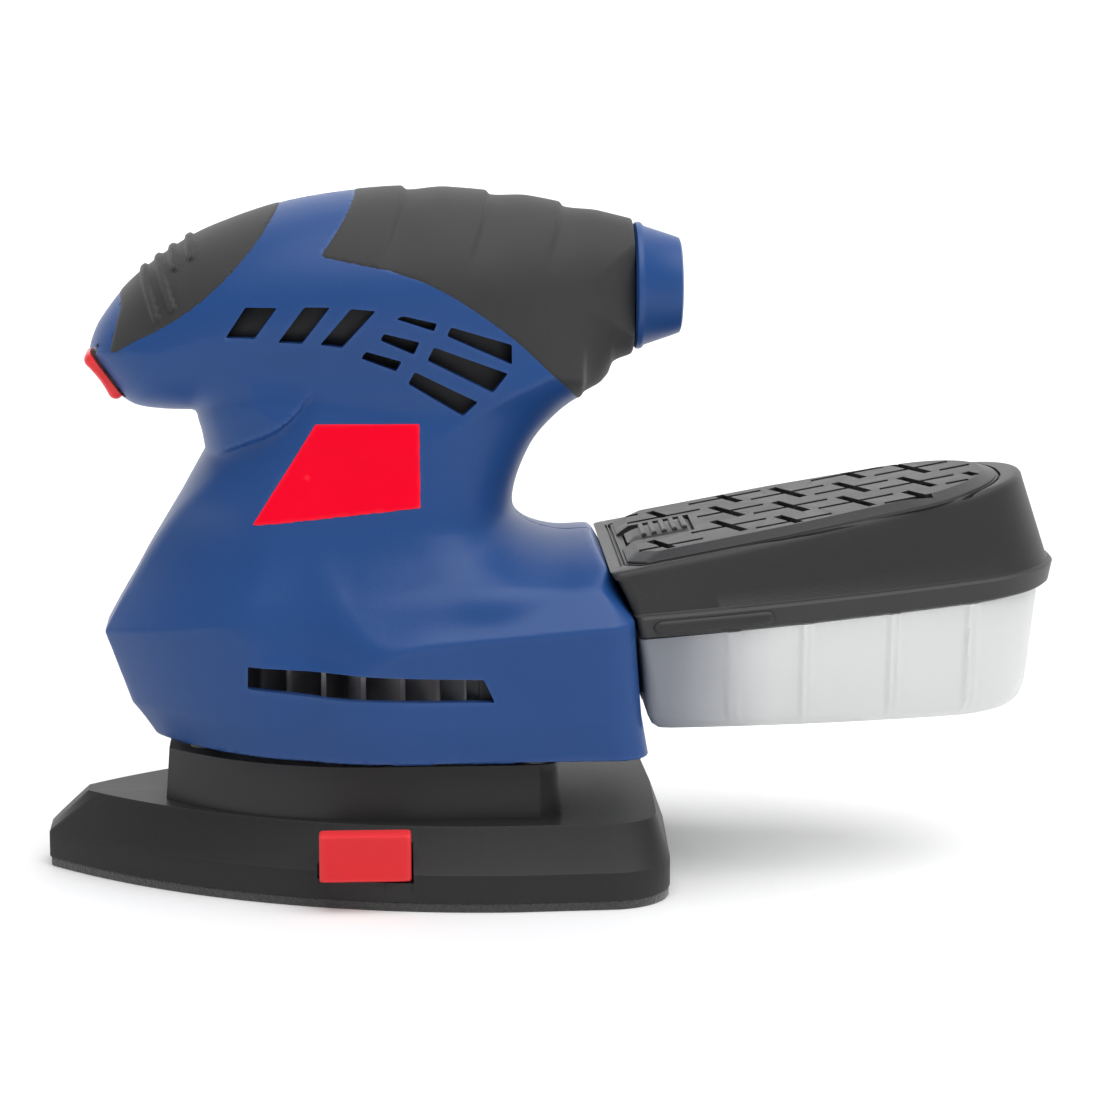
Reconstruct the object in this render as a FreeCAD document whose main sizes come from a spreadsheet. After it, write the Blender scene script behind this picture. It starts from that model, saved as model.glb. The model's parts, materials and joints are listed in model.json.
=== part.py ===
"""Palm-grip orbital sander with an iron-shaped sole and a clip-on dust box.

The frame is +Z up with the origin on the sole's face, under the motor's axis.
The sole's tip points along -X, and the dust box lies along +X.
"""
import FreeCAD, Part
import math
import os
import Sketcher

V = FreeCAD.Vector
X_AXIS = V(1, 0, 0)
Y_AXIS = V(0, 1, 0)
Z_AXIS = V(0, 0, 1)

doc = FreeCAD.newDocument("sander")
sheet = doc.addObject("Spreadsheet::Sheet", "Sizes")

# ---------------------------------------------------------------- driving sizes, in millimetres
SIZES = {
    # pad stack
    "sole_tip": 71.5,
    "sole_rear": 68.8,
    "sole_half": 50.3,
    "sole_band": 8.2,
    "sole_top": 17.0,
    "hook_thick": 2.0,
    "dust_hole_dia": 8.0,
    "carrier_length": 89.0,
    "carrier_half": 34.0,
    "carrier_top": 28.8,
    "pad_gap": 0.3,
    # orbit and rotor
    "orbit_radius": 1.0,
    "shaft_dia": 8.0,
    "shaft_top_dia": 7.0,
    "shaft_bottom": 30.4,
    "shaft_top": 124.6,
    "pin_dia": 12.0,
    "pin_bottom": 19.6,
    "crank_bottom": 30.0,
    "crank_top": 36.5,
    "crank_dia": 26.0,
    "weight_radius": 24.0,
    "pad_bearing_dia": 28.0,
    "pad_bearing_width": 8.0,
    "pad_bearing_bottom": 20.0,
    "fan_dia": 58.0,
    "fan_bottom": 38.0,
    "fan_top": 52.0,
    "fan_blade": 1.2,
    "lower_bearing_dia": 22.0,
    "lower_bearing_width": 7.0,
    "lower_bearing_bottom": 57.5,
    "upper_bearing_dia": 19.0,
    "upper_bearing_width": 6.0,
    "upper_bearing_bottom": 118.0,
    "core_dia": 27.0,
    "core_bottom": 72.0,
    "core_height": 26.0,
    "air_gap": 0.6,
    "field_dia": 48.0,
    "coil_height": 5.8,
    "commutator_dia": 22.0,
    "commutator_bottom": 106.6,
    "commutator_height": 10.0,
    "brush_size": 6.0,
    "brush_length": 12.0,
    # flexible posts
    "post_dia": 6.0,
    "post_top": 50.0,
    "post_seat": 6.0,
    "post_front": 36.0,
    "post_front_half": 9.5,
    "post_rear": 38.0,
    "post_rear_half": 28.5,
    "post_room": 0.5,
    # housing
    "wall": 2.6,
    "hull_bottom": 30.6,
    "hull_nose": 57.8,
    "hull_half": 41.8,
    "hull_rear": 62.9,
    "crease_height": 57.6,
    "crease_slope": 0.055,
    "deck_height": 76.0,
    "motor_room": 5.0,
    "head_half": 29.3,
    "head_top": 154.1,
    "head_rear": 61.3,
    "barrel_dia": 29.4,
    "barrel_axis": 131.4,
    "shelf_height": 53.4,
    "shelf_thick": 2.8,
    "grip_thick": 1.4,
    "label_thick": 0.6,
    "screw_dia": 3.6,
    "boss_dia": 8.4,
    # collar
    "collar_length": 10.8,
    "collar_front_dia": 28.6,
    "collar_rear_dia": 22.0,
    "cord_bore_dia": 9.0,
    "collar_neck": 3.4,
    "collar_seat": 8.0,
    # switch
    "switch_width": 16.0,
    "switch_length": 12.4,
    "switch_thick": 3.2,
    "switch_gap": 0.6,
    # release tabs
    "tab_length": 20.0,
    "tab_height": 10.6,
    "tab_bottom": 7.0,
    "tab_recess": 0.9,
    "tab_thick": 4.8,
    "tab_travel": 1.8,
    # dust box
    "spout_end": 82.0,
    "spout_width": 30.0,
    "spout_height": 7.0,
    "spout_axis": 43.8,
    "spout_wall": 1.3,
    "seal_thick": 1.4,
    "box_gap": 0.5,
    "bin_half": 35.6,
    "bin_bottom": 36.0,
    "bin_wall": 1.6,
    "bin_end": 154.0,
    "rim_height": 57.4,
    "rim_slope": 0.070,
    "lid_overhang": 3.2,
    "lid_height": 71.6,
    "lid_slope": 0.187,
    "lid_wall": 2.0,
    "lid_gap": 0.3,
    "plate_thick": 1.2,
    "filter_height": 5.0,
    "running_gap": 0.05,
}


class Size:
    """A length with its value and the sheet expression that gives it."""

    def __init__(self, value, text):
        self.value = value
        self.text = text

    def join(self, other, sign, value):
        return Size(value, "(%s %s %s)" % (self.text, sign, as_size(other).text))

    def __add__(self, other):
        return self.join(other, "+", self.value + float(other))

    def __sub__(self, other):
        return self.join(other, "-", self.value - float(other))

    def __mul__(self, other):
        return self.join(other, "*", self.value * float(other))

    def __truediv__(self, other):
        return self.join(other, "/", self.value / float(other))

    def __radd__(self, other):
        return as_size(other) + self

    def __rsub__(self, other):
        return as_size(other) - self

    def __rmul__(self, other):
        return as_size(other) * self

    def __neg__(self):
        return as_size(0) - self

    def __float__(self):
        return float(self.value)


def as_size(number):
    """A Size made of a bare number, or the Size itself."""
    return number if isinstance(number, Size) else Size(float(number), repr(float(number)))


class Sizes:
    """The sheet's cells, each as an attribute with the alias's name."""


S = Sizes()
for row, (alias, number) in enumerate(SIZES.items(), start=1):
    sheet.set("A%d" % row, alias.replace("_", " "))
    sheet.set("B%d" % row, str(number))
    sheet.setAlias("B%d" % row, alias)
    setattr(S, alias, Size(number, "Sizes.%s" % alias))
doc.recompute()

parts = []


# ---------------------------------------------------------------- helpers for document objects
def name_of(label, role):
    """The document's name for one step in making a sub-part."""
    return "%s_%s" % (label, role)


def bind(item, prop, size):
    """Give one property its size from the sheet."""
    item.setExpression(prop, as_size(size).text)


def place(item, x=0, y=0, z=0):
    """Put an object at a point whose coordinates come from the sheet."""
    item.Placement = FreeCAD.Placement(V(float(x), float(y), float(z)), item.Placement.Rotation)
    for axis, size in zip("xyz", (x, y, z)):
        if isinstance(size, Size):
            bind(item, "Placement.Base.%s" % axis, size)


def part(item, label):
    """Mark an object as a sub-part with its node's name."""
    item.Label = label
    parts.append(item)
    return item


def feature(label, shape, placement=None):
    """A sub-part whose shape is worked out with Part's own functions."""
    item = doc.addObject("Part::Feature", name_of(label, "shape"))
    item.Shape = shape
    item.Placement = placement or FreeCAD.Placement()
    return part(item, label)


def polygon(body, plane_role, corners, name):
    """A sketch of one closed outline whose corners are bound to the sheet."""
    sketch = body.newObject("Sketcher::SketchObject", name)
    plane = [item for item in body.Origin.OriginFeatures if item.Role == plane_role][0]
    sketch.AttachmentSupport = [(plane, "")]
    sketch.MapMode = "FlatFace"
    add_outline(sketch, corners)
    return sketch


def add_outline(sketch, corners):
    """Straight edges through the corners, closed, with each corner placed from the axes."""
    first = sketch.GeometryCount
    count = len(corners)
    spots = [V(float(x), float(y), 0) for x, y in corners]
    for i in range(count):
        sketch.addGeometry(Part.LineSegment(spots[i], spots[(i + 1) % count]), False)
    for i in range(count):
        sketch.addConstraint(Sketcher.Constraint("Coincident", first + i, 2, first + (i + 1) % count, 1))
    for i, (x, y) in enumerate(corners):
        for kind, axis, size in (("DistanceX", -2, x), ("DistanceY", -1, y)):
            if abs(float(size)) < 1e-9:
                sketch.addConstraint(Sketcher.Constraint("PointOnObject", first + i, 1, axis))
                continue
            index = sketch.addConstraint(Sketcher.Constraint(kind, -1, 1, first + i, 1, float(size)))
            if isinstance(size, Size):
                sketch.setExpression("Constraints[%d]" % index, size.text)


def turned(label, profile, axis="V_Axis"):
    """A body of revolution about Z, or about X with H_Axis, from an outline in the XZ plane."""
    body = doc.addObject("PartDesign::Body", name_of(label, "body"))
    sketch = polygon(body, "XZ_Plane", profile, name_of(label, "profile"))
    turn = body.newObject("PartDesign::Revolution", name_of(label, "turn"))
    turn.Profile = sketch
    turn.ReferenceAxis = (sketch, [axis])
    turn.Angle = 360
    sketch.Visibility = False
    return part(body, label)


def cylinder(name, dia, height, x=0, y=0, z=0):
    """A Part::Cylinder along Z with its size and place from the sheet."""
    item = doc.addObject("Part::Cylinder", name)
    bind(item, "Radius", dia / 2)
    bind(item, "Height", height)
    place(item, x, y, z)
    return item


def box(name, length, width, height, x=0, y=0, z=0):
    """A Part::Box with its size and its lowest corner from the sheet."""
    item = doc.addObject("Part::Box", name)
    bind(item, "Length", length)
    bind(item, "Width", width)
    bind(item, "Height", height)
    place(item, x, y, z)
    return item


def cut(name, base, tool):
    item = doc.addObject("Part::Cut", name)
    item.Base = base
    item.Tool = tool
    return item


def group(name, *items):
    """Separate solids kept together in one compound."""
    item = doc.addObject("Part::Compound", name)
    item.Links = list(items)
    return item


def ring(label, inner_dia, outer_dia, bottom, height, centre=0):
    """A plain ring about Z, such as a bearing, turned from a rectangle."""
    inner = inner_dia / 2
    outer = outer_dia / 2
    profile = [(inner, 0), (outer, 0), (outer, height), (inner, height)]
    item = turned(label, profile)
    place(item, centre, 0, bottom)
    return item


# ---------------------------------------------------------------- helpers for worked-out shapes
def iron_wire(tip, mid, shoulder, turn, heel, rear, height, slope=0.0, inset=0.0):
    """An iron's outline: a cut tip, two long flanks, round corners and a rear edge.

    Each pair is a point of the +Y side: the tip's corner, the middle and the end of the curved
    flank, and the start and end of the round corner. The rear is the X of the rear edge's middle.
    The outline lies in a plane that rises along X by the slope. The inset moves it inwards.
    """
    def at(x, y):
        return V(x, y, height + slope * x)

    tip_x, tip_y = tip[0] + inset, max(tip[1] - 0.4 * inset, 1.0)
    mid_x, mid_y = mid[0] + 0.5 * inset, mid[1] - 0.87 * inset
    flank_x, flank_y = shoulder[0], shoulder[1] - inset
    turn_x, turn_y = turn[0], turn[1] - inset
    heel_x, heel_y = heel[0] - inset, heel[1]
    bend_x = turn_x + math.sin(math.pi / 4) * (heel_x - turn_x)
    bend_y = heel_y + math.sin(math.pi / 4) * (turn_y - heel_y)
    edges = [Part.LineSegment(at(tip_x, -tip_y), at(tip_x, tip_y))]
    edges.append(Part.Arc(at(tip_x, tip_y), at(mid_x, mid_y), at(flank_x, flank_y)))
    edges.append(Part.LineSegment(at(flank_x, flank_y), at(turn_x, turn_y)))
    edges.append(Part.Arc(at(turn_x, turn_y), at(bend_x, bend_y), at(heel_x, heel_y)))
    edges.append(Part.Arc(at(heel_x, heel_y), at(rear - inset, 0), at(heel_x, -heel_y)))
    edges.append(Part.Arc(at(heel_x, -heel_y), at(bend_x, -bend_y), at(turn_x, -turn_y)))
    edges.append(Part.LineSegment(at(turn_x, -turn_y), at(flank_x, -flank_y)))
    edges.append(Part.Arc(at(flank_x, -flank_y), at(mid_x, -mid_y), at(tip_x, -tip_y)))
    return Part.Wire([edge.toShape() for edge in edges])


def loft(wires, ruled=True):
    return Part.makeLoft(wires, True, ruled)


def prism(outline, low_y, high_y):
    """A block with an outline in the XZ plane, from one Y to another."""
    corners = [V(x, low_y, z) for x, z in outline]
    face = Part.Face(Part.makePolygon(corners + corners[:1]))
    return face.extrude(V(0, high_y - low_y, 0))


def mirrored(shape):
    """The same shape on the other side of the middle plane."""
    return shape.mirror(V(0, 0, 0), Y_AXIS)


def disc(radius, height, centre=(0, 0, 0), axis=Z_AXIS):
    return Part.makeCylinder(radius, height, V(*centre), axis)


# ---------------------------------------------------------------- pad stack
def sole_wire(height, inset=0.0):
    """The sole's lower outline at a height."""
    half = float(S.sole_half)
    tip = float(S.sole_tip)
    rear = float(S.sole_rear)
    return iron_wire((-tip, 5.0), (-0.36 * tip, 0.755 * half), (0.49 * rear, half),
                     (rear - 15.6, half - 1.0), (rear - 1.2, half - 15.0), rear, height, inset=inset)


def sole_top_wire(height):
    """The sole's upper outline, inside the broad bevel."""
    half = float(S.sole_half) - 9.8
    tip = float(S.sole_tip) - 8.8
    rear = float(S.sole_rear) - 3.1
    return iron_wire((-tip, 2.7), (-0.3 * tip, 0.778 * half), (0.52 * rear, half),
                     (rear - 12.0, half - 0.8), (rear - 0.8, half - 12.0), rear, height)


def dust_holes(height):
    """The six suction holes through the sole and its hook face."""
    radius = float(S.dust_hole_dia) / 2
    half = 0.5 * float(S.sole_half)
    spots = [(-42, 0), (-20, 0.55 * half), (-20, -0.55 * half), (44, half), (44, -half), (50, 0)]
    return [disc(radius, height, (x, y, -1)) for x, y in spots]


def tab_face():
    """The Y of a release tab's outer face, a little inside the sole's widest place."""
    return float(S.sole_half) - float(S.tab_recess)


def tab_pocket(side):
    """The room that a release tab needs in the sole's flank."""
    gap = float(S.pad_gap) + 0.1
    half_length = float(S.tab_length) / 2 + gap
    inner = tab_face() - float(S.tab_thick) - float(S.tab_travel) - gap
    low = float(S.tab_bottom) - gap
    high = float(S.sole_top) + 1
    head = Part.makeBox(2 * half_length, 30, high - low, V(-half_length, inner, low))
    stem = Part.makeBox(12 + 2 * gap, 14, 5 + 2 * gap, V(-6 - gap, inner - 10, 9 - gap))
    room = head.fuse(stem)
    return room if side > 0 else mirrored(room)


def make_sole():
    base = float(S.hook_thick)
    band = loft([sole_wire(base), sole_wire(float(S.sole_band))])
    bevel = loft([sole_wire(float(S.sole_band)), sole_top_wire(float(S.sole_top))])
    solid = band.fuse(bevel)
    solid = solid.cut(disc(9.0, 10.0, (float(S.orbit_radius), 0, 12.0)))
    for tool in dust_holes(40) + [tab_pocket(1), tab_pocket(-1)]:
        solid = solid.cut(tool)
    for x, y in carrier_screw_spots():
        solid = solid.cut(disc(1.8, 9, (x, y, 9)))
    feature("sole_plate", solid)
    face = loft([sole_wire(0, 0.3), sole_wire(base, 0.3)])
    for tool in dust_holes(20):
        face = face.cut(tool)
    feature("hook_face", face)


def carrier_screw_spots():
    """Where the carrier is screwed to the sole."""
    length = float(S.carrier_length)
    half = float(S.carrier_half)
    return [(-0.3 * length, 4), (-0.3 * length, -4), (0.3 * length, 0.45 * half), (0.3 * length, -0.45 * half)]


def carrier_wire(height, inset=0.0):
    """The carrier block's outline."""
    front = -0.5 * float(S.carrier_length)
    rear = 0.5 * float(S.carrier_length)
    half = float(S.carrier_half)
    return iron_wire((front, 12.0), (front + 18, 0.78 * half), (0.1 * half, half),
                     (rear - 6, half - 0.4), (rear - 0.6, half - 6), rear, height, inset=inset)


def post_spots():
    """The four flexible posts, as (x, y)."""
    spots = []
    for side in (1, -1):
        spots.append((-float(S.post_front), side * float(S.post_front_half)))
        spots.append((float(S.post_rear), side * float(S.post_rear_half)))
    return spots


def make_carrier():
    low = float(S.sole_top)
    top = float(S.carrier_top)
    solid = loft([carrier_wire(low), carrier_wire(top, 0.8)])
    centre = float(S.orbit_radius)
    seat = float(S.pad_bearing_dia) / 2 + float(S.running_gap)
    bearing_low = float(S.pad_bearing_bottom)
    solid = solid.cut(disc(seat, top, (centre, 0, bearing_low - 0.3)))
    solid = solid.cut(disc(9.0, 10, (centre, 0, low - 1)))
    for x, y in post_spots():
        solid = solid.cut(disc(float(S.post_dia) / 2, 20, (x, y, top - float(S.post_seat))))
    for x, y in carrier_screw_spots():
        solid = solid.cut(disc(1.8, 30, (x, y, low - 5)))
        solid = solid.cut(disc(3.4, 30, (x, y, top - 3.4)))
    feature("pad_carrier", solid)
    screws = []
    for x, y in carrier_screw_spots():
        shank = disc(1.75, top - 3.4 - 9.4, (x, y, 9.4))
        head = disc(3.2, 2.4, (x, y, top - 3.4))
        screws.append(shank.fuse(head))
    feature("carrier_screws", Part.makeCompound(screws))


def make_posts():
    """Flexible posts: fixed in the carrier, with their upper ends free in the housing's sockets."""
    names = ("post_front_left", "post_rear_left", "post_front_right", "post_rear_right")
    for name, (x, y) in zip(names, post_spots()):
        side = 1 if y > 0 else -1
        post = part(cylinder(name_of(name, "rod"), S.post_dia, S.post_top - S.carrier_top + S.post_seat), name)
        front = x < 0
        along = -S.post_front if front else S.post_rear
        across = S.post_front_half if front else S.post_rear_half
        place(post, along, across * side, S.carrier_top - S.post_seat)


def make_tabs():
    """The two red release tabs in the sole's flanks, and the springs behind them."""
    for name, side in (("left", 1), ("right", -1)):
        half = float(S.tab_length) / 2
        face = tab_face()
        thick = float(S.tab_thick)
        plate = Part.makeBox(2 * half, thick, float(S.tab_height), V(-half, face - thick, float(S.tab_bottom)))
        plate = plate.makeFillet(0.6, [e for e in plate.Edges if e.CenterOfMass.y > face - 0.1])
        stem = Part.makeBox(12, 7, 5, V(-6, face - 11.6, 9))
        tab = plate.fuse(stem).removeSplitter()
        spring_room = face - 11.6 - float(S.tab_travel) - 0.3
        spring_end = face - 14.8 - float(S.tab_travel) - 0.4
        spring = Part.makeCylinder(2.2, spring_room - spring_end, V(0, spring_end, 11.5), Y_AXIS)
        spring = spring.cut(Part.makeCylinder(1.5, 60, V(0, 0, 11.5), Y_AXIS))
        feature("release_tab_%s" % name, tab if side > 0 else mirrored(tab))
        feature("tab_spring_%s" % name, spring if side > 0 else mirrored(spring))


# ---------------------------------------------------------------- rotor
def make_rotor():
    step = S.upper_bearing_bottom - 1.0
    thick = S.shaft_dia / 2
    thin = S.shaft_top_dia / 2
    turned("motor_shaft", [(0, S.shaft_bottom), (thick, S.shaft_bottom), (thick, step),
                           (thin, step), (thin, S.shaft_top), (0, S.shaft_top)])
    ring("armature_core", S.shaft_dia, S.core_dia, S.core_bottom, S.core_height)
    coil = S.coil_height
    bore = S.shaft_dia / 2
    wide = S.core_dia / 2 - 1.2
    low = S.core_bottom
    top = S.core_bottom + S.core_height
    lower = turned("winding_lower", [(bore, low - coil), (wide - 2, low - coil), (wide, low - coil + 2),
                                     (wide, low), (bore, low)])
    upper = turned("winding_upper", [(bore, top), (wide, top), (wide, top + coil - 2),
                                     (wide - 2, top + coil), (bore, top + coil)])
    parts.remove(lower)
    parts.remove(upper)
    part(group("armature_windings_group", lower, upper), "armature_windings")
    ring("commutator", S.shaft_dia, S.commutator_dia, S.commutator_bottom, S.commutator_height)
    ring("upper_bearing", S.shaft_top_dia, S.upper_bearing_dia, S.upper_bearing_bottom, S.upper_bearing_width)
    ring("lower_bearing", S.shaft_dia, S.lower_bearing_dia, S.lower_bearing_bottom, S.lower_bearing_width)
    ring("pad_bearing", S.pin_dia, S.pad_bearing_dia, S.pad_bearing_bottom, S.pad_bearing_width, S.orbit_radius)


def make_crank():
    """The crank on the shaft's end: its pin stands off the axis, and the weight balances the pad."""
    low = float(S.crank_bottom)
    height = float(S.crank_top) - low
    centre = float(S.orbit_radius)
    boss = disc(float(S.crank_dia) / 2, height, (0, 0, low))
    round_weight = disc(float(S.weight_radius), height - 1.5, (0, 0, low + 1.5))
    weight = round_weight.common(Part.makeBox(60, 120, 60, V(-60, -60, 0)))
    pin = disc(float(S.pin_dia) / 2, low - float(S.pin_bottom), (centre, 0, float(S.pin_bottom)))
    solid = boss.fuse([weight, pin])
    solid = solid.cut(disc(float(S.shaft_dia) / 2, 40, (0, 0, float(S.shaft_bottom))))
    solid = solid.cut(disc(2.0, 9, (centre, 0, float(S.pin_bottom) - 1)))
    feature("crank", solid)
    head = disc(4.2, 3.0, (centre, 0, float(S.pin_bottom) - 4.2))
    shank = disc(2.0, 8.2, (centre, 0, float(S.pin_bottom) - 1.2))
    feature("pad_screw", head.fuse(shank))
    washer = disc(8.0, 1.2, (centre, 0, float(S.pin_bottom) - 1.2))
    feature("pad_washer", washer.cut(disc(2.0, 5, (centre, 0, float(S.pin_bottom) - 2))))


FAN_BLADES = 20


def make_fan():
    """The fan: a hub and back plate, straight blades and a lower ring."""
    low = float(S.fan_bottom)
    top = float(S.fan_top)
    radius = float(S.fan_dia) / 2
    hub = disc(8.0, top - low, (0, 0, low))
    plate = disc(radius, 1.6, (0, 0, top - 1.6))
    lower_ring = disc(radius, 1.2, (0, 0, low)).cut(disc(radius - 6, 4, (0, 0, low - 1)))
    thick = float(S.fan_blade)
    blades = []
    for index in range(FAN_BLADES):
        blade = Part.makeBox(radius - 12.5, thick, top - low - 1.0, V(12, -thick / 2, low))
        blade.rotate(V(0, 0, 0), Z_AXIS, 360.0 * index / FAN_BLADES)
        blades.append(blade)
    solid = hub.fuse([plate, lower_ring] + blades)
    solid = solid.cut(disc(float(S.shaft_dia) / 2, 60, (0, 0, low - 10)))
    feature("fan", solid)


# ---------------------------------------------------------------- fixed motor parts
def make_stator():
    bore = S.core_dia + 2 * S.air_gap
    ring("field_stack", bore, S.field_dia, S.core_bottom, S.core_height)
    low = ring("coil_lower", bore + 1.6, S.field_dia - 5, S.core_bottom - S.coil_height, S.coil_height)
    top = ring("coil_upper", bore + 1.6, S.field_dia - 5, S.core_bottom + S.core_height, S.coil_height)
    parts.remove(low)
    parts.remove(top)
    part(group("field_coils_group", low, top), "field_coils")
    seat = S.lower_bearing_dia / 2 + S.running_gap
    rim = S.field_dia / 2 - 4
    low_z = S.shelf_height + S.shelf_thick
    top_z = S.lower_bearing_bottom + S.lower_bearing_width + 0.6
    turned("motor_bracket", [(seat - 3, low_z), (rim, low_z), (rim, low_z + 2.4), (seat + 3, low_z + 2.4),
                             (seat + 3, top_z), (seat, top_z), (seat, S.lower_bearing_bottom - 0.1),
                             (seat - 3, S.lower_bearing_bottom - 0.1)])


def make_brushes():
    """Two carbon brushes in their boxes, either side of the commutator along X, with their springs."""
    size = S.brush_size
    low = S.commutator_bottom + S.commutator_height / 2 - S.brush_size / 2
    start = S.commutator_dia / 2 + 0.1
    outer_z = low - 1.4
    for name, side in (("front", -1), ("rear", 1)):
        reach = S.brush_length
        brush_x = start if side > 0 else -start - reach
        brush = box(name_of("brush_" + name, "block"), reach, size, size, brush_x, -size / 2, low)
        part(brush, "brush_" + name)
        case_length = reach + 4
        case_x = start + 1.5 if side > 0 else -start - 1.5 - case_length
        case = box("brush_case_" + name, case_length, size + 2.8, size + 2.8, case_x, -size / 2 - 1.4, outer_z)
        hole_x = start - 5 if side > 0 else -start - reach - 4
        hole = box("brush_hole_" + name, reach + 9, size + 0.2, size + 0.2, hole_x, -size / 2 - 0.1, low - 0.1)
        part(cut("brush_box_" + name + "_cut", case, hole), "brush_box_" + name)
        spring_x = start + reach if side > 0 else -start - reach - 3.9
        coil = doc.addObject("Part::Cylinder", "brush_coil_" + name)
        bind(coil, "Radius", size / 2 - 0.6)
        coil.Height = 3.9
        coil.Placement = FreeCAD.Placement(V(0, 0, 0), FreeCAD.Rotation(Y_AXIS, 90))
        place(coil, spring_x, 0, low + size / 2)
        part(coil, "brush_spring_" + name)


# ---------------------------------------------------------------- housing
def hull_wires(inset=0.0, drop=0.0):
    """The hull's outline at its foot, its crease, its shoulder and its deck."""
    nose = float(S.hull_nose)
    half = float(S.hull_half)
    rear = float(S.hull_rear)
    crease = float(S.crease_height)
    slope = float(S.crease_slope)
    deck = float(S.deck_height)
    foot = iron_wire((-nose + 11.3, 6), (-0.37 * nose, half - 10.4), (21, half - 2.7), (rear - 7, half - 3.2),
                     (rear, half - 9.5), rear + 0.2, float(S.hull_bottom) - drop, inset=inset)
    middle = iron_wire((-nose, 7), (-0.43 * nose, half - 8.3), (22, half), (rear - 9.5, half - 0.8),
                       (rear - 3.3, half - 7), rear - 3.1, crease, slope, inset)
    shoulder = iron_wire((-nose + 8.5, 5), (-0.36 * nose, half - 16.8), (20, half - 9.3), (rear - 16, half - 11.5),
                         (rear - 9.6, half - 18), rear - 9.4, deck - 6.4 - 0.4 * inset, slope, inset)
    top = iron_wire((-nose + 10.5, 4), (-0.3 * nose, half - 26), (20, half - 19), (rear - 16.6, half - 20),
                    (rear - 10.6, half - 26), rear - 10.4, deck - inset, 0.0, inset)
    return [foot, middle, shoulder, top]


COLUMN = (  # height, front x, rear x, share of the half width
    (58.0, -55.0, 39.0, 1.14),
    (68.0, -50.8, 38.6, 1.08),
    (78.0, -44.6, 35.6, 1.02),
    (88.0, -37.9, 34.6, 0.99),
    (97.0, -35.0, 38.9, 0.96),
    (106.0, -36.0, 45.0, 0.95),
    (118.0, -37.0, 50.0, 0.95),
)

HEAD = (  # x, underside, top, share of the half width
    (-60.2, 113.8, 119.6, 0.20),
    (-57.6, 110.8, 124.6, 0.34),
    (-51.0, 105.2, 132.9, 0.53),
    (-42.0, 104.5, 140.4, 0.71),
    (-29.0, 104.2, 146.7, 0.87),
    (-12.0, 103.8, 151.8, 0.97),
    (8.0, 104.4, 154.0, 1.0),
    (28.0, 107.6, 153.2, 0.91),
    (44.0, 110.6, 150.4, 0.72),
    (54.0, 114.0, 148.3, 0.565),
)


def oval(centre, wide, tall, across, up, power):
    """A closed smooth curve: an ellipse whose corners are squared by the power."""
    spots = []
    count = 20
    for index in range(count):
        angle = 2 * math.pi * index / count
        c = math.cos(angle)
        s = math.sin(angle)
        reach = math.copysign(abs(c) ** power, c) * wide
        rise = math.copysign(abs(s) ** power, s) * tall
        spots.append(centre + across * reach + up * rise)
    curve = Part.BSplineCurve()
    curve.interpolate(Points=spots, PeriodicFlag=True)
    return Part.Wire(curve.toShape())


def column_wires(inset=0.0):
    """The waist's rings, wide enough for the motor's field and the room around it."""
    half = float(S.field_dia) / 2 + float(S.motor_room)
    wires = []
    for height, front, rear, share in COLUMN:
        centre = V((front + rear) / 2, 0, height)
        wires.append(oval(centre, (rear - front) / 2 - inset, share * half - inset, X_AXIS, Y_AXIS, 0.86))
    return wires


def head_wires(inset=0.0, end_inset=0.0):
    half = float(S.head_half)
    lift = float(S.head_top) - 154.1
    wires = []
    for index, (x, low, top, share) in enumerate(HEAD):
        centre = V(x + (end_inset if index == 0 else 0), 0, (low + top + lift) / 2)
        tall = (top + lift - low) / 2 - inset
        wires.append(oval(centre, max(share * half - inset, 1.5), max(tall, 1.5), Y_AXIS, Z_AXIS, 0.92))
    radius = float(S.barrel_dia) / 2 - inset
    wires.append(oval(V(float(S.head_rear), 0, float(S.barrel_axis)), radius, radius, Y_AXIS, Z_AXIS, 1.0))
    return wires


def outer_head(inset=0.0, end_inset=0.0):
    return loft(head_wires(inset, end_inset), ruled=False)


def outer_column(inset=0.0):
    return loft(column_wires(inset), ruled=False)


UPPER_SLOTS = (  # outlines in the side view, as (x, z)
    ((-24.9, 130.1), (-18.0, 130.1), (-23.0, 123.2), (-29.3, 123.4)),
    ((-12.1, 130.3), (-6.5, 130.3), (-12.7, 122.2), (-17.9, 122.5)),
    ((-2.0, 130.0), (3.4, 129.5), (-4.0, 121.3), (-8.8, 122.0)),
    ((9.3, 128.4), (16.7, 126.6), (16.0, 124.9), (7.8, 127.7)),
    ((19.7, 125.8), (33.1, 121.5), (33.1, 117.1), (18.8, 123.8)),
    ((5.1, 124.5), (12.9, 122.5), (11.6, 119.7), (4.3, 123.0)),
    ((16.0, 121.4), (32.2, 115.2), (28.9, 111.0), (14.5, 118.4)),
    ((1.2, 120.5), (9.0, 118.2), (7.7, 116.0), (0.1, 118.9)),
    ((11.8, 115.9), (25.6, 109.0), (22.3, 105.9), (10.3, 113.2)),
)
LOWER_SLOT = ((-25.3, 51.7), (26.2, 50.0), (28.6, 44.8), (-7.3, 45.3), (-25.4, 46.6))
LABEL = ((-10.0, 104.4), (12.8, 104.4), (12.9, 85.9), (-24.2, 81.8))
FRONT_GRIP = ((-54.6, 170.0), (-56.2, 117.6), (-49.5, 121.1), (-43.6, 124.2), (-36.6, 128.8),
              (-29.5, 135.0), (-22.5, 142.5), (-16.6, 152.0), (-14.0, 170.0))
REAR_GRIP = ((-1.0, 170.0), (-1.0, 153.4), (-9.0, 140.6), (8.7, 136.9), (19.6, 132.2), (30.5, 124.6),
             (37.3, 118.7), (47.5, 108.0), (48.0, 90.0), (70.0, 90.0), (70.0, 170.0))
SCREWS = ((-43.5, 110.0), (37.0, 108.5), (-38.5, 66.0), (45.0, 66.5), (-30.0, 97.0))


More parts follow.
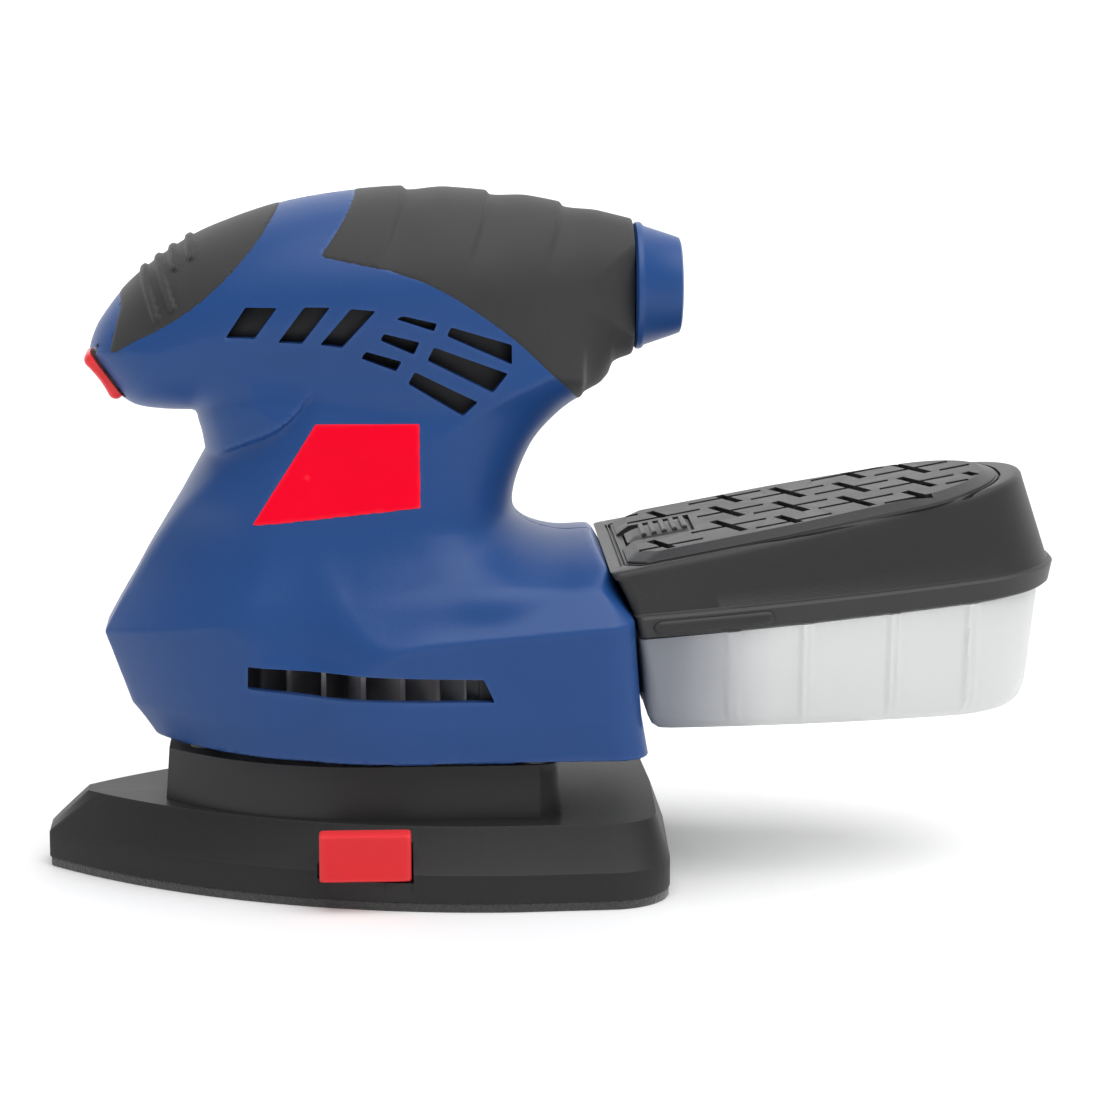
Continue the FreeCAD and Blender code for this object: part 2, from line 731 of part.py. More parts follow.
def slab(low, high):
    """A wide level slab, from one height to another."""
    return Part.makeBox(300, 200, high - low, V(-150, -100, low))


def side_block(side):
    """Everything on one side of the joint between the halves."""
    return Part.makeBox(400, 200, 400, V(-200, 0 if side > 0 else -200, -50))


def make_housing():
    wall = float(S.wall)
    grip = float(S.grip_thick)
    hull = loft(hull_wires())
    column = outer_column()
    head = outer_head()
    outer = hull.fuse([column, head])
    hollow = loft(hull_wires(wall, 5.0)).fuse([outer_column(wall), outer_head(wall, wall)])
    shell = outer.cut(hollow)

    # grips and labels lie in shallow seats, so their skins are shared out first
    band = head.cut(outer_head(grip, 0.0))
    front_prism = prism(FRONT_GRIP, -60, 60)
    rear_prism = prism(REAR_GRIP, -60, 60)
    front_grip = band.common(front_prism)
    rear_grip = band.common(rear_prism)
    label_band = column.cut(outer_column(float(S.label_thick)))
    left_label = label_band.common(prism(LABEL, 5, 60))
    right_label = mirrored(left_label)
    shell = shell.cut([front_grip, rear_grip, left_label, right_label])
    feature("front_grip", biggest(front_grip))
    feature("rear_grip", biggest(rear_grip))
    feature("label_left", biggest(left_label))
    feature("label_right", biggest(right_label))

    # inner plates: the shelf over the fan, two cradles for the field and the upper bearing's seat
    shelf_low = float(S.shelf_height)
    shelf_top = shelf_low + float(S.shelf_thick)
    room = loft(hull_wires(wall - 0.4, 5.0)).fuse([outer_column(wall - 0.4), outer_head(wall - 0.4, wall)])
    field_radius = float(S.field_dia) / 2 + float(S.running_gap)
    plates = []
    bracket_radius = float(S.lower_bearing_dia) / 2 + 1.5
    plates.append(slab(shelf_low, shelf_top).cut(disc(bracket_radius, 200)))
    core_low = float(S.core_bottom)
    for height in (core_low + 3, core_low + float(S.core_height) - 6):
        plates.append(slab(height, height + 2.4).cut(disc(field_radius, 200)))
    brush_low = float(S.commutator_bottom) + float(S.commutator_height) / 2 - float(S.brush_size) / 2 - 1.4
    plates.append(slab(brush_low - 2.6, brush_low - 0.1).cut(disc(float(S.commutator_dia) / 2 + 1.2, 200)))
    bearing_low = float(S.upper_bearing_bottom)
    seat = float(S.upper_bearing_dia) / 2 + float(S.running_gap)
    bearing_plate = slab(bearing_low + 0.2, bearing_low + float(S.upper_bearing_width) + 2.0)
    bearing_plate = bearing_plate.cut(disc(seat, 200))
    plates.append(bearing_plate.common(disc(seat + 9, 200)).fuse(
        slab(bearing_low + 3.0, bearing_low + 5.4).cut(disc(seat + 1, 200))))
    inner = room.common(plates[0].fuse(plates[1:]))

    # sockets over the flexible posts, wide enough for the pad's orbit
    sockets = []
    holes = []
    orbit = float(S.orbit_radius)
    socket_radius = float(S.post_dia) / 2 + orbit + float(S.post_room)
    for x, y in post_spots():
        low = float(S.post_top) - 7.0
        sockets.append(disc(socket_radius + 1.6, shelf_low - low + 1, (x - orbit, y, low)))
        holes.append(disc(socket_radius, shelf_low - low, (x - orbit, y, low - 0.01)))
    inner = inner.fuse(room.common(sockets[0].fuse(sockets[1:])))
    inner = inner.cut(holes)

    # screw bosses reach from the walls to the joint between the halves
    boss_radius = float(S.boss_dia) / 2
    bosses = [Part.makeCylinder(boss_radius, 120, V(x, -60, z), Y_AXIS) for x, z in SCREWS]
    inner = inner.fuse(room.common(bosses[0].fuse(bosses[1:])))
    half = shell.fuse(inner).common(side_block(1))

    # openings through the walls
    for outline in UPPER_SLOTS:
        half = half.cut(prism(outline, 12, 60))
    half = half.cut(prism(LOWER_SLOT, 20, 60))
    half = half.cut([spout_block(0.0), switch_block(float(S.switch_gap))])
    neck = float(S.cord_bore_dia) / 2 + float(S.collar_neck) + 0.1
    start = float(S.head_rear) - float(S.collar_seat) - 0.1
    half = half.cut(disc(neck, 20, (start, 0, float(S.barrel_axis)), X_AXIS))
    half = biggest(half)

    # the screws go in from the left half, and the right half's holes are blind
    thread = float(S.screw_dia) / 2
    reach = 12.0
    seat_y = 6.9
    left = half
    right = mirrored(half)
    screws = []
    for x, z in SCREWS:
        left = left.cut(disc(thread, 60, (x, -1, z), Y_AXIS))
        left = left.cut(disc(boss_radius - 0.8, 60, (x, seat_y, z), Y_AXIS))
        right = right.cut(disc(thread, reach + 1.2, (x, -reach - 0.2, z), Y_AXIS))
        shank = disc(thread - 0.05, reach + seat_y, (x, -reach, z), Y_AXIS)
        screws.append(shank.fuse(disc(boss_radius - 1.0, 2.4, (x, seat_y, z), Y_AXIS)))
    feature("housing_screws", Part.makeCompound(screws))
    feature("housing_left", biggest(left))
    feature("housing_right", biggest(right))


def biggest(shape):
    """The largest solid of a result, without its slivers."""
    return max(shape.Solids, key=lambda solid: solid.Volume)


def make_collar():
    """The collar at the handle's rear end, with the cord's inlet through it."""
    front = S.collar_front_dia / 2
    rear = S.collar_rear_dia / 2
    bore = S.cord_bore_dia / 2
    start = S.head_rear + 0.6
    end = S.head_rear + S.collar_length
    neck = bore + S.collar_neck
    item = turned("rear_collar", [(S.head_rear - S.collar_seat, bore), (end, bore), (end, rear - 0.8), (end - 0.8, rear),
                                  (start, front), (start, neck), (S.head_rear - S.collar_seat, neck)], "H_Axis")
    place(item, 0, 0, S.barrel_axis)


# ---------------------------------------------------------------- switch
def switch_frame():
    """The switch's own place: its middle on the nose, with its length down the nose."""
    return FreeCAD.Placement(V(-57.5, 0, 112.2), FreeCAD.Rotation(Y_AXIS, -36))


def switch_block(gap):
    """The block that the rocker fills in the nose, with a gap all round."""
    length = float(S.switch_length) + 2 * gap
    width = float(S.switch_width) + 2 * gap
    block = Part.makeBox(9.0, width, length, V(-2.4, -width / 2, -length / 2))
    block.Placement = switch_frame()
    return block


def make_switch():
    length = float(S.switch_length)
    width = float(S.switch_width)
    thick = float(S.switch_thick)
    rocker = Part.makeBox(thick, width, length, V(-1.9, -width / 2, -length / 2))
    rocker = rocker.makeFillet(0.6, [e for e in rocker.Edges if e.CenterOfMass.x < -1.8])
    stem = Part.makeCylinder(1.6, width - 4, V(thick - 1.6, -width / 2 + 2, 0), Y_AXIS)
    rocker = rocker.fuse(stem)
    feature("switch_rocker", rocker, switch_frame())
    wide = width + 2 * float(S.switch_gap) - 0.2
    tall = length + 2 * float(S.switch_gap) - 0.2
    body = Part.makeBox(2.8, wide, tall, V(thick + 0.4, -wide / 2, -tall / 2))
    feature("switch_body", body, switch_frame())


# ---------------------------------------------------------------- dust box
def box_wire(front, front_half, end, height, slope, inset=0.0):
    """The dust box's outline: a straight front, two tapering flanks and a round end."""
    def at(x, y):
        return V(x, y, height + slope * x)

    front = front + inset
    end = end - inset
    half = front_half - inset
    span = end - front
    mid_x, mid_y = front + 0.42 * span, 0.905 * half
    side_x, side_y = front + 0.80 * span, 0.70 * half
    bend_x, bend_y = front + 0.945 * span, 0.45 * half
    edges = [
        Part.LineSegment(at(front, -half), at(front, half)).toShape(),
        Part.Arc(at(front, half), at(mid_x, mid_y), at(side_x, side_y)).toShape(),
        Part.Arc(at(side_x, side_y), at(bend_x, bend_y), at(end, 0)).toShape(),
        Part.Arc(at(end, 0), at(bend_x, -bend_y), at(side_x, -side_y)).toShape(),
        Part.Arc(at(side_x, -side_y), at(mid_x, -mid_y), at(front, -half)).toShape(),
    ]
    return Part.Wire(edges)


def hull_rear_at(height):
    """The X of the hull's rear face at a height, on the middle plane."""
    rear = float(S.hull_rear)
    slope = float(S.crease_slope)
    crease_x = rear - 3.1
    shoulder_x = rear - 9.4
    corners = [(float(S.hull_bottom), rear + 0.2),
               (float(S.crease_height) + slope * crease_x, crease_x),
               (float(S.deck_height) - 6.4 + slope * shoulder_x, shoulder_x),
               (float(S.deck_height), rear - 10.4)]
    for (low, low_x), (high, high_x) in zip(corners, corners[1:]):
        if height <= high:
            break
    return low_x + (high_x - low_x) * (height - low) / (high - low)


def box_front(height):
    """The X of the dust box's front at a height, just clear of the hull."""
    return hull_rear_at(height) + float(S.box_gap)


def rim_level(offset=0.0):
    """The height at X = 0 of the plane of the rim, moved up by an offset."""
    height = float(S.rim_height)
    return height - float(S.rim_slope) * box_front(height) + offset


def lid_level(offset=0.0):
    """The height at X = 0 of the lid's top plane."""
    height = float(S.lid_height)
    return height - float(S.lid_slope) * box_front(height) + offset


def spout_block(gap, low_x=50.0, high_x=100.0):
    """The block that the spout fills, grown by a gap."""
    width = float(S.spout_width) + 2 * gap
    height = float(S.spout_height) + 2 * gap
    block = Part.makeBox(high_x - low_x, width, height,
                         V(low_x, -width / 2, float(S.spout_axis) - height / 2))
    edges = [e for e in block.Edges if abs(e.tangentAt(e.FirstParameter).x) > 0.9]
    return block.makeFillet(height / 2 - 0.3, edges)


def make_spout():
    """The spout that carries the dust through the hull's rear wall."""
    wall = float(S.spout_wall)
    inside = float(S.hull_rear) - float(S.wall)
    tube = spout_block(0.0, inside - 4.6, float(S.spout_end))
    flange = spout_block(1.6, inside - 4.6, inside - 3.0)
    solid = tube.fuse(flange).cut(spout_block(-wall))
    feature("dust_spout", solid)


def make_bin():
    wall = float(S.bin_wall)
    bottom = float(S.bin_bottom)
    rim = float(S.rim_height)
    slope = float(S.rim_slope)
    half = float(S.bin_half)
    end = float(S.bin_end)
    low_half = half - 3.2
    foot = box_front(bottom)
    front = box_front(rim)
    outer = [box_wire(foot, low_half - 3, end - 6, bottom, 0.0),
             box_wire(foot, low_half, end - 2.2, bottom + 3.5, 0.0),
             box_wire(front, half, end, rim_level(), slope)]
    inner = [box_wire(foot, low_half - 2, end - 5, bottom + wall, 0.0, wall),
             box_wire(foot, low_half + 0.2, end - 2.0, bottom + 4.5, 0.0, wall),
             box_wire(front, half, end, rim_level(0.5), slope, wall)]
    solid = loft(outer).cut(loft(inner))
    seal = float(S.seal_thick)
    solid = solid.cut(spout_block(seal, front - 5, front + 6))
    feature("dust_bin", solid)
    ring_shape = spout_block(seal, foot - 0.2, foot + 2.6)
    ring_shape = ring_shape.cut(spout_block(float(S.running_gap) + 0.25))
    feature("spout_seal", ring_shape)


def make_lid():
    gap = float(S.lid_gap)
    wall = float(S.lid_wall)
    slope = float(S.rim_slope)
    top_slope = float(S.lid_slope)
    half = float(S.bin_half) + 1.6
    rim = float(S.rim_height)
    top = float(S.lid_height)
    end = float(S.bin_end) + float(S.lid_overhang)
    band = 5.0
    front = box_front(rim)
    band_front = box_front(rim + band)
    edge = 2.6
    edge_front = box_front(top - edge - 0.6)
    top_front = box_front(top)
    outer = [box_wire(front, half, end, rim_level(gap), slope),
             box_wire(band_front, half - 0.2, end - 0.2, rim_level(gap + band), slope)]
    upper = [box_wire(band_front, half - 1.4, end - 1.4, rim_level(gap + band), slope),
             box_wire(edge_front, half - 5.4, end - 7.0, lid_level(-edge), top_slope),
             box_wire(top_front + 1.4, half - 8.4, end - 10.5, lid_level(), top_slope)]
    inner = [box_wire(front, half, end, rim_level(gap - 1), slope, wall + 1.4),
             box_wire(band_front, half - 1.4, end - 1.4, rim_level(gap + band), slope, wall),
             box_wire(edge_front, half - 5.4, end - 7.0, lid_level(-edge - wall), top_slope, wall)]
    solid = loft(outer).fuse(loft(upper)).cut(loft(inner))
    solid = solid.cut(latch_block(0.3))
    pin_hole = latch_rod(PIN_RADIUS, 19.6)
    pin_hole.Placement = latch_frame()
    solid = solid.cut(pin_hole)
    feature("lid", biggest(solid))
    raised = loft([box_wire(top_front + 19.5, half - 11.2, end - 14.5, lid_level(), top_slope),
                   box_wire(top_front + 20.5, half - 12.4, end - 16.0, lid_level(float(S.plate_thick)), top_slope)])
    feature("lid_plate", raised)

    def filter_wire(level, inset):
        return box_wire(front, half, end, rim_level(level), slope, inset)

    level = gap + 0.4
    thick = 1.8
    snug = wall + 1.4 + gap
    frame_outer = [filter_wire(level, snug), filter_wire(level + thick, snug)]
    frame_hole = [filter_wire(level - 1, snug + 6), filter_wire(level + thick + 1, snug + 6)]
    feature("filter_frame", loft(frame_outer).cut(loft(frame_hole)))
    height = float(S.filter_height)
    pleats = [filter_wire(level + thick, snug + 4), filter_wire(level + thick + height, snug + 4)]
    feature("filter", loft(pleats))


def latch_frame():
    """The latch's own place: its front lower corner on the lid's slope."""
    slope = math.degrees(math.atan(float(S.lid_slope)))
    x = box_front(float(S.lid_height)) + 3.5
    z = lid_level() + float(S.lid_slope) * x
    return FreeCAD.Placement(V(x, 0, z), FreeCAD.Rotation(Y_AXIS, -slope))


def latch_block(gap):
    """The block that the latch fills in the lid's slope."""
    block = Part.makeBox(13.5 + 2 * gap, 17 + 2 * gap, 12, V(0.4 - gap, -8.5 - gap, -6))
    block.Placement = latch_frame()
    return block


PIN_RADIUS = 0.75


def latch_rod(radius, length):
    """A rod on the latch's hinge line, in the latch's own place."""
    return disc(radius, length, (12.3, -length / 2, -0.6), Y_AXIS)


def make_latch():
    """The ribbed latch at the lid's front, hinged at its rear edge on a thin pin."""
    plate = Part.makeBox(13.5, 17, 2.6, V(0.4, -8.5, -0.8))
    ribs = [Part.makeBox(1.0, 14, 0.8, V(2.0 + 2.4 * i, -7, 1.6)) for i in range(5)]
    leg = Part.makeBox(1.4, 12, 3.0, V(1.6, -6, -3.6))
    solid = plate.fuse(ribs + [leg, latch_rod(1.3, 17)])
    solid = solid.cut(latch_rod(PIN_RADIUS + float(S.running_gap), 40))
    pin = latch_rod(PIN_RADIUS, 19.6)
    feature("latch", solid, latch_frame())
    feature("latch_pin", pin, latch_frame())


# ---------------------------------------------------------------- all of it
make_sole()
make_carrier()
make_posts()
make_tabs()
make_rotor()
make_crank()
make_fan()
make_stator()
make_brushes()
make_housing()
make_collar()
make_switch()
make_spout()
make_bin()
make_lid()
make_latch()
doc.recompute()

for item in doc.Objects:
    if "Invalid" in item.State or "Error" in item.State:
        raise RuntimeError("%s failed: %s" % (item.Name, item.State))
os.makedirs("parts", exist_ok=True)
for item in parts:
    if item.Shape.isNull() or not item.Shape.isValid():
        raise RuntimeError("%s has no valid shape" % item.Label)
for item in parts:
    item.Shape.exportStep("parts/%s.step" % item.Label)
    print("%-22s solids %d  volume %9.1f" % (item.Label, len(item.Shape.Solids), item.Shape.Volume))
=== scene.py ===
"""Looks of a palm-grip orbital sander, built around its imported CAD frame.

Everything is worked out in millimetres in the frame's axes and written to the meshes in metres.
"""
import json
import math

import bmesh
import bpy
import numpy as np
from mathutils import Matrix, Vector


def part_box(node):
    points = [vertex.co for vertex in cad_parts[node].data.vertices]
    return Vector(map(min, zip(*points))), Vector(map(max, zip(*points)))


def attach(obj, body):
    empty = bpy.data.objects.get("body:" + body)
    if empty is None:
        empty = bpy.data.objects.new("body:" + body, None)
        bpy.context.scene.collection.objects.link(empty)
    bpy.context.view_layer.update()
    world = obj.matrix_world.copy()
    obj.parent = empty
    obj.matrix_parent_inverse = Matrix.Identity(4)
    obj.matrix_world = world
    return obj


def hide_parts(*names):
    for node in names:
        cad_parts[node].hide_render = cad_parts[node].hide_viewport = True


bl_info = {
    "name": "Orbital sander",
    "version": (1, 0, 0),
    "blender": (4, 5, 0),
    "location": "View3D > Sidebar > Sander",
    "description": "Builds the shell, grips, sole, dust box and finishes of an orbital sander",
    "category": "Object",
}

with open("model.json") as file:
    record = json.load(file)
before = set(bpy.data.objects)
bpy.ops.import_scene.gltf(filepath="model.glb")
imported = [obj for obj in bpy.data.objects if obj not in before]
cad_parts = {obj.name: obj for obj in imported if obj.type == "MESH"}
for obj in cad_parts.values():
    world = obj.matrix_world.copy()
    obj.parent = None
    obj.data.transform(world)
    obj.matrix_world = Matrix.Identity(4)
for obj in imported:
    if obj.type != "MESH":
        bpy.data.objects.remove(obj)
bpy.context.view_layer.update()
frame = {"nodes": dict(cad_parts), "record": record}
MM = 0.001


def low_high(node):
    """The two corners of a CAD node's box, in millimetres."""
    low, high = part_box(node)
    return np.array(low) / MM, np.array(high) / MM


SHELL_LOW = low_high("housing_left")[0]
COLLAR_LOW, COLLAR_HIGH = low_high("rear_collar")
SOLE_LOW, SOLE_HIGH = low_high("sole_plate")
HOOK_LOW, HOOK_HIGH = low_high("hook_face")
CARRIER_HIGH = low_high("pad_carrier")[1]
BIN_LOW, BIN_HIGH = low_high("dust_bin")
LID_HIGH = low_high("lid")[1]
SPOUT_LOW, SPOUT_HIGH = low_high("dust_spout")
FAN_LOW, FAN_HIGH = low_high("fan")
BARREL_AXIS = (COLLAR_LOW[2] + COLLAR_HIGH[2]) / 2
HEAD_REAR = low_high("rear_grip")[1][0]


# ------------------------------------------------------------------ curves and meshes
def arc(start, middle, end, count=16):
    """Points along the circle through three points."""
    (ax, ay), (bx, by), (cx, cy) = start, middle, end
    d = 2 * (ax * (by - cy) + bx * (cy - ay) + cx * (ay - by))
    a2, b2, c2 = ax * ax + ay * ay, bx * bx + by * by, cx * cx + cy * cy
    ox = (a2 * (by - cy) + b2 * (cy - ay) + c2 * (ay - by)) / d
    oy = (a2 * (cx - bx) + b2 * (ax - cx) + c2 * (bx - ax)) / d
    radius = math.hypot(ax - ox, ay - oy)
    first = math.atan2(ay - oy, ax - ox)
    turn_mid = (math.atan2(by - oy, bx - ox) - first) % (2 * math.pi)
    turn_end = (math.atan2(cy - oy, cx - ox) - first) % (2 * math.pi)
    if turn_mid > turn_end:
        turn_end -= 2 * math.pi
    angles = first + np.linspace(0, turn_end, count)
    return np.column_stack([ox + radius * np.cos(angles), oy + radius * np.sin(angles)])


def smooth(points, per_span=6, closed=False):
    """A Catmull-Rom curve through the points; a point given twice makes a corner."""
    p = np.asarray(points, float)
    if closed:
        p = np.vstack([p[-1:], p, p[:2]])
    else:
        p = np.vstack([2 * p[:1] - p[1:2], p, 2 * p[-1:] - p[-2:-1]])
    t = np.linspace(0, 1, per_span, endpoint=False)[None, :, None]
    a, b, c, d = (p[i:len(p) - 3 + i, None, :] for i in range(4))
    curve = 0.5 * (2 * b + (c - a) * t + (2 * a - 5 * b + 4 * c - d) * t ** 2 + (3 * b - a - 3 * c + d) * t ** 3)
    curve = curve.reshape(-1, p.shape[1])
    return curve if closed else np.vstack([curve, p[-2:-1]])


def ease(x, low, high):
    """A smooth step from 0 to 1 between two values."""
    t = np.clip((x - low) / (high - low), 0, 1)
    return t * t * (3 - 2 * t)


def profile(x, stations, values):
    """Values between stations, smoothed with a cubic through them."""
    xs = np.asarray(stations, float)
    ys = np.asarray(values, float)
    slopes = np.gradient(ys, xs)
    x = np.clip(x, xs[0], xs[-1])
    i = np.clip(np.searchsorted(xs, x) - 1, 0, len(xs) - 2)
    span = xs[i + 1] - xs[i]
    t = (x - xs[i]) / span
    h00 = (1 + 2 * t) * (1 - t) ** 2
    h01 = t * t * (3 - 2 * t)
    first = h00 * ys[i] + t * (1 - t) ** 2 * span * slopes[i]
    return first + h01 * ys[i + 1] + t * t * (t - 1) * span * slopes[i + 1]


def smooth_min(a, b, k):
    """The lesser of two fields, rounded where they are nearer than k."""
    near = np.maximum(k - np.abs(a - b), 0)
    return np.minimum(a, b) - near * near / (4 * np.maximum(k, 1e-6))


def smooth_max(a, b, k):
    """The greater of two fields, rounded where they are nearer than k."""
    return -smooth_min(-a, -b, k)


class Outline:
    """A closed outline whose signed distance, negative inside, is kept on a fine grid."""

    def __init__(self, points, step=0.5, margin=6.0):
        p = np.asarray(points, np.float32)
        self.step = step
        self.low = p.min(0) - margin
        count = np.ceil((p.max(0) + margin - self.low) / step).astype(int) + 1
        gx = self.low[0] + step * np.arange(count[0], dtype=np.float32)
        gy = self.low[1] + step * np.arange(count[1], dtype=np.float32)
        x, y = np.meshgrid(gx, gy, indexing="ij")
        best = np.full(x.shape, 1e9, np.float32)
        inside = np.zeros(x.shape, bool)
        for (ax, ay), (bx, by) in zip(p, np.roll(p, -1, 0)):
            dx, dy = bx - ax, by - ay
            length = max(dx * dx + dy * dy, 1e-9)
            t = np.clip(((x - ax) * dx + (y - ay) * dy) / length, 0, 1)
            best = np.minimum(best, (x - ax - t * dx) ** 2 + (y - ay - t * dy) ** 2)
            if abs(dy) > 1e-9:
                crosses = ((ay > y) != (by > y)) & (x < ax + dx * (y - ay) / dy)
                inside ^= crosses
        self.grid = np.where(inside, -1, 1) * np.sqrt(best)

    def __call__(self, x, y):
        fx = (x - self.low[0]) / self.step
        fy = (y - self.low[1]) / self.step
        cx = np.clip(fx, 0, self.grid.shape[0] - 1.001)
        cy = np.clip(fy, 0, self.grid.shape[1] - 1.001)
        ix, iy = cx.astype(int), cy.astype(int)
        tx, ty = cx - ix, cy - iy
        g = self.grid
        value = (g[ix, iy] * (1 - tx) + g[ix + 1, iy] * tx) * (1 - ty)
        value = value + (g[ix, iy + 1] * (1 - tx) + g[ix + 1, iy + 1] * tx) * ty
        return value + self.step * (np.abs(fx - cx) + np.abs(fy - cy))


def new_mesh(name, points, faces, finish=None, smooth_faces=True, split=None):
    """A mesh object in metres from points in millimetres."""
    mesh = bpy.data.meshes.new(name)
    loops = faces.tolist() if hasattr(faces, "tolist") else faces
    mesh.from_pydata((np.asarray(points) * MM).tolist(), [], loops)
    mesh.validate()
    mesh.update()
    piece = bpy.data.objects.new(name, mesh)
    bpy.context.scene.collection.objects.link(piece)
    mesh.polygons.foreach_set("use_smooth", np.full(len(mesh.polygons), smooth_faces))
    if split is not None:
        mark_sharp(mesh, split)
    if finish is not None:
        mesh.materials.append(finish)
    return piece


def mark_sharp(mesh, degrees):
    """Edges that turn by more than an angle shade as sharp edges."""
    mesh.set_sharp_from_angle(angle=math.radians(degrees))


def sheet_faces(rows, columns, wrap_rows=False, wrap_columns=False, flip=False):
    """Quads over a grid of points, joined round where a direction closes on itself."""
    r = np.arange(rows if wrap_rows else rows - 1)
    c = np.arange(columns if wrap_columns else columns - 1)
    r, c = np.meshgrid(r, c, indexing="ij")
    r2, c2 = (r + 1) % rows, (c + 1) % columns
    quads = np.stack([r * columns + c, r * columns + c2, r2 * columns + c2, r2 * columns + c], -1).reshape(-1, 4)
    return quads[:, ::-1] if flip else quads


def outward(piece):
    """Turn a closed mesh's faces outwards, after its doubles are merged."""
    work = bmesh.new()
    work.from_mesh(piece.data)
    bmesh.ops.remove_doubles(work, verts=work.verts, dist=1e-7)
    bmesh.ops.recalc_face_normals(work, faces=work.faces)
    work.to_mesh(piece.data)
    work.free()
    return piece


def turned(name, outline, axis, centre, finish, count=96, split=35):
    """A closed outline of (radius, height) carried round an axis through a centre."""
    p = np.asarray(outline, float)
    angle = np.linspace(0, 2 * math.pi, count, endpoint=False)
    radius, height = p[:, 0][None], p[:, 1][None]
    c, s = np.cos(angle)[:, None], np.sin(angle)[:, None]
    along = np.broadcast_to(height, (count, len(p)))
    if axis == "x":
        grid = np.stack([along, radius * c, radius * s], -1)
    else:
        grid = np.stack([radius * c, radius * s, along], -1)
    grid = grid + np.asarray(centre, float)
    piece = new_mesh(name, grid.reshape(-1, 3), sheet_faces(count, len(p), True, True), finish)
    outward(piece)
    mark_sharp(piece.data, split)
    return piece


def field_mesh(name, field, low, high, step, finish, split=None):
    """The zero surface of a field of three coordinates, as quads with one point per mixed cell.

    The field is sampled on a grid. Each cell whose corners differ in sign gets a point at the mean
    of its edges' crossings, and each grid edge that crosses the surface joins its four cells' points.
    The points then move along the gradient onto the surface.
    """
    count = np.ceil((np.asarray(high) - low) / step).astype(int) + 1
    axes = [low[i] + step * np.arange(count[i]) for i in range(3)]
    x, y, z = np.meshgrid(*axes, indexing="ij")
    value = field(x, y, z)
    corners = {}
    for i in range(8):
        dx, dy, dz = i & 1, i >> 1 & 1, i >> 2 & 1
        corners[dx, dy, dz] = value[dx:count[0] - 1 + dx, dy:count[1] - 1 + dy, dz:count[2] - 1 + dz]
    total = np.zeros(corners[0, 0, 0].shape + (3,))
    hits = np.zeros(corners[0, 0, 0].shape)
    for direction in range(3):
        for i in (0, 1):
            for j in (0, 1):
                start = [i, j]
                start.insert(direction, 0)
                end = list(start)
                end[direction] = 1
                a, b = corners[tuple(start)], corners[tuple(end)]
                cross = (a < 0) != (b < 0)
                t = np.where(cross, a / np.where(cross, a - b, 1), 0)
                for k in range(3):
                    total[..., k] += np.where(cross, t if k == direction else start[k], 0)
                hits += cross
    mixed = hits > 0
    index = np.full(mixed.shape, -1)
    index[mixed] = np.arange(mixed.sum())
    cell = np.argwhere(mixed)
    points = (cell + total[mixed] / hits[mixed][:, None]) * step + np.asarray(low)
    quads = []
    for direction in range(3):
        a = [slice(1, -1)] * 3
        b = [slice(1, -1)] * 3
        a[direction], b[direction] = slice(0, -1), slice(1, None)
        cross = (value[tuple(a)] < 0) != (value[tuple(b)] < 0)
        spot = np.argwhere(cross)
        rising = value[tuple(a)][cross] < 0
        spot += [0 if k == direction else 1 for k in range(3)]
        u, v = (direction + 1) % 3, (direction + 2) % 3
        ring = []
        for du, dv in ((-1, -1), (0, -1), (0, 0), (-1, 0)):
            at = spot.copy()
            at[:, u] += du
            at[:, v] += dv
            ring.append(index[at[:, 0], at[:, 1], at[:, 2]])
        quad = np.stack(ring, -1)
        quads.append(np.where(rising[:, None], quad, quad[:, ::-1]))
    h = 0.05
    for _ in range(4):
        px, py, pz = points.T
        f = field(px, py, pz)
        rise = [field(px + h, py, pz) - f, field(px, py + h, pz) - f, field(px, py, pz + h) - f]
        gradient = np.stack(rise, -1) / h
        size = np.maximum((gradient ** 2).sum(-1), 0.05)
        move = -(f / size)[:, None] * gradient
        reach = np.linalg.norm(move, axis=1, keepdims=True)
        points = points + move * np.minimum(1, 0.35 * step / np.maximum(reach, 1e-9))
    return new_mesh(name, points, np.concatenate(quads), finish, split=split)


# ------------------------------------------------------------------ the shell's shape
def iron(tip, mid, shoulder, turn, heel, rear):
    """An iron's outline: a cut tip, curved flanks, round corners and a slightly bowed rear edge."""
    share = math.sin(math.pi / 4)
    bend = (turn[0] + share * (heel[0] - turn[0]), heel[1] + share * (turn[1] - heel[1]))
    side = np.vstack([arc(tip, mid, shoulder, 30), arc(turn, bend, heel, 10), [[rear, 0.0]]])
    return np.vstack([side, side[-2::-1] * [1, -1]])


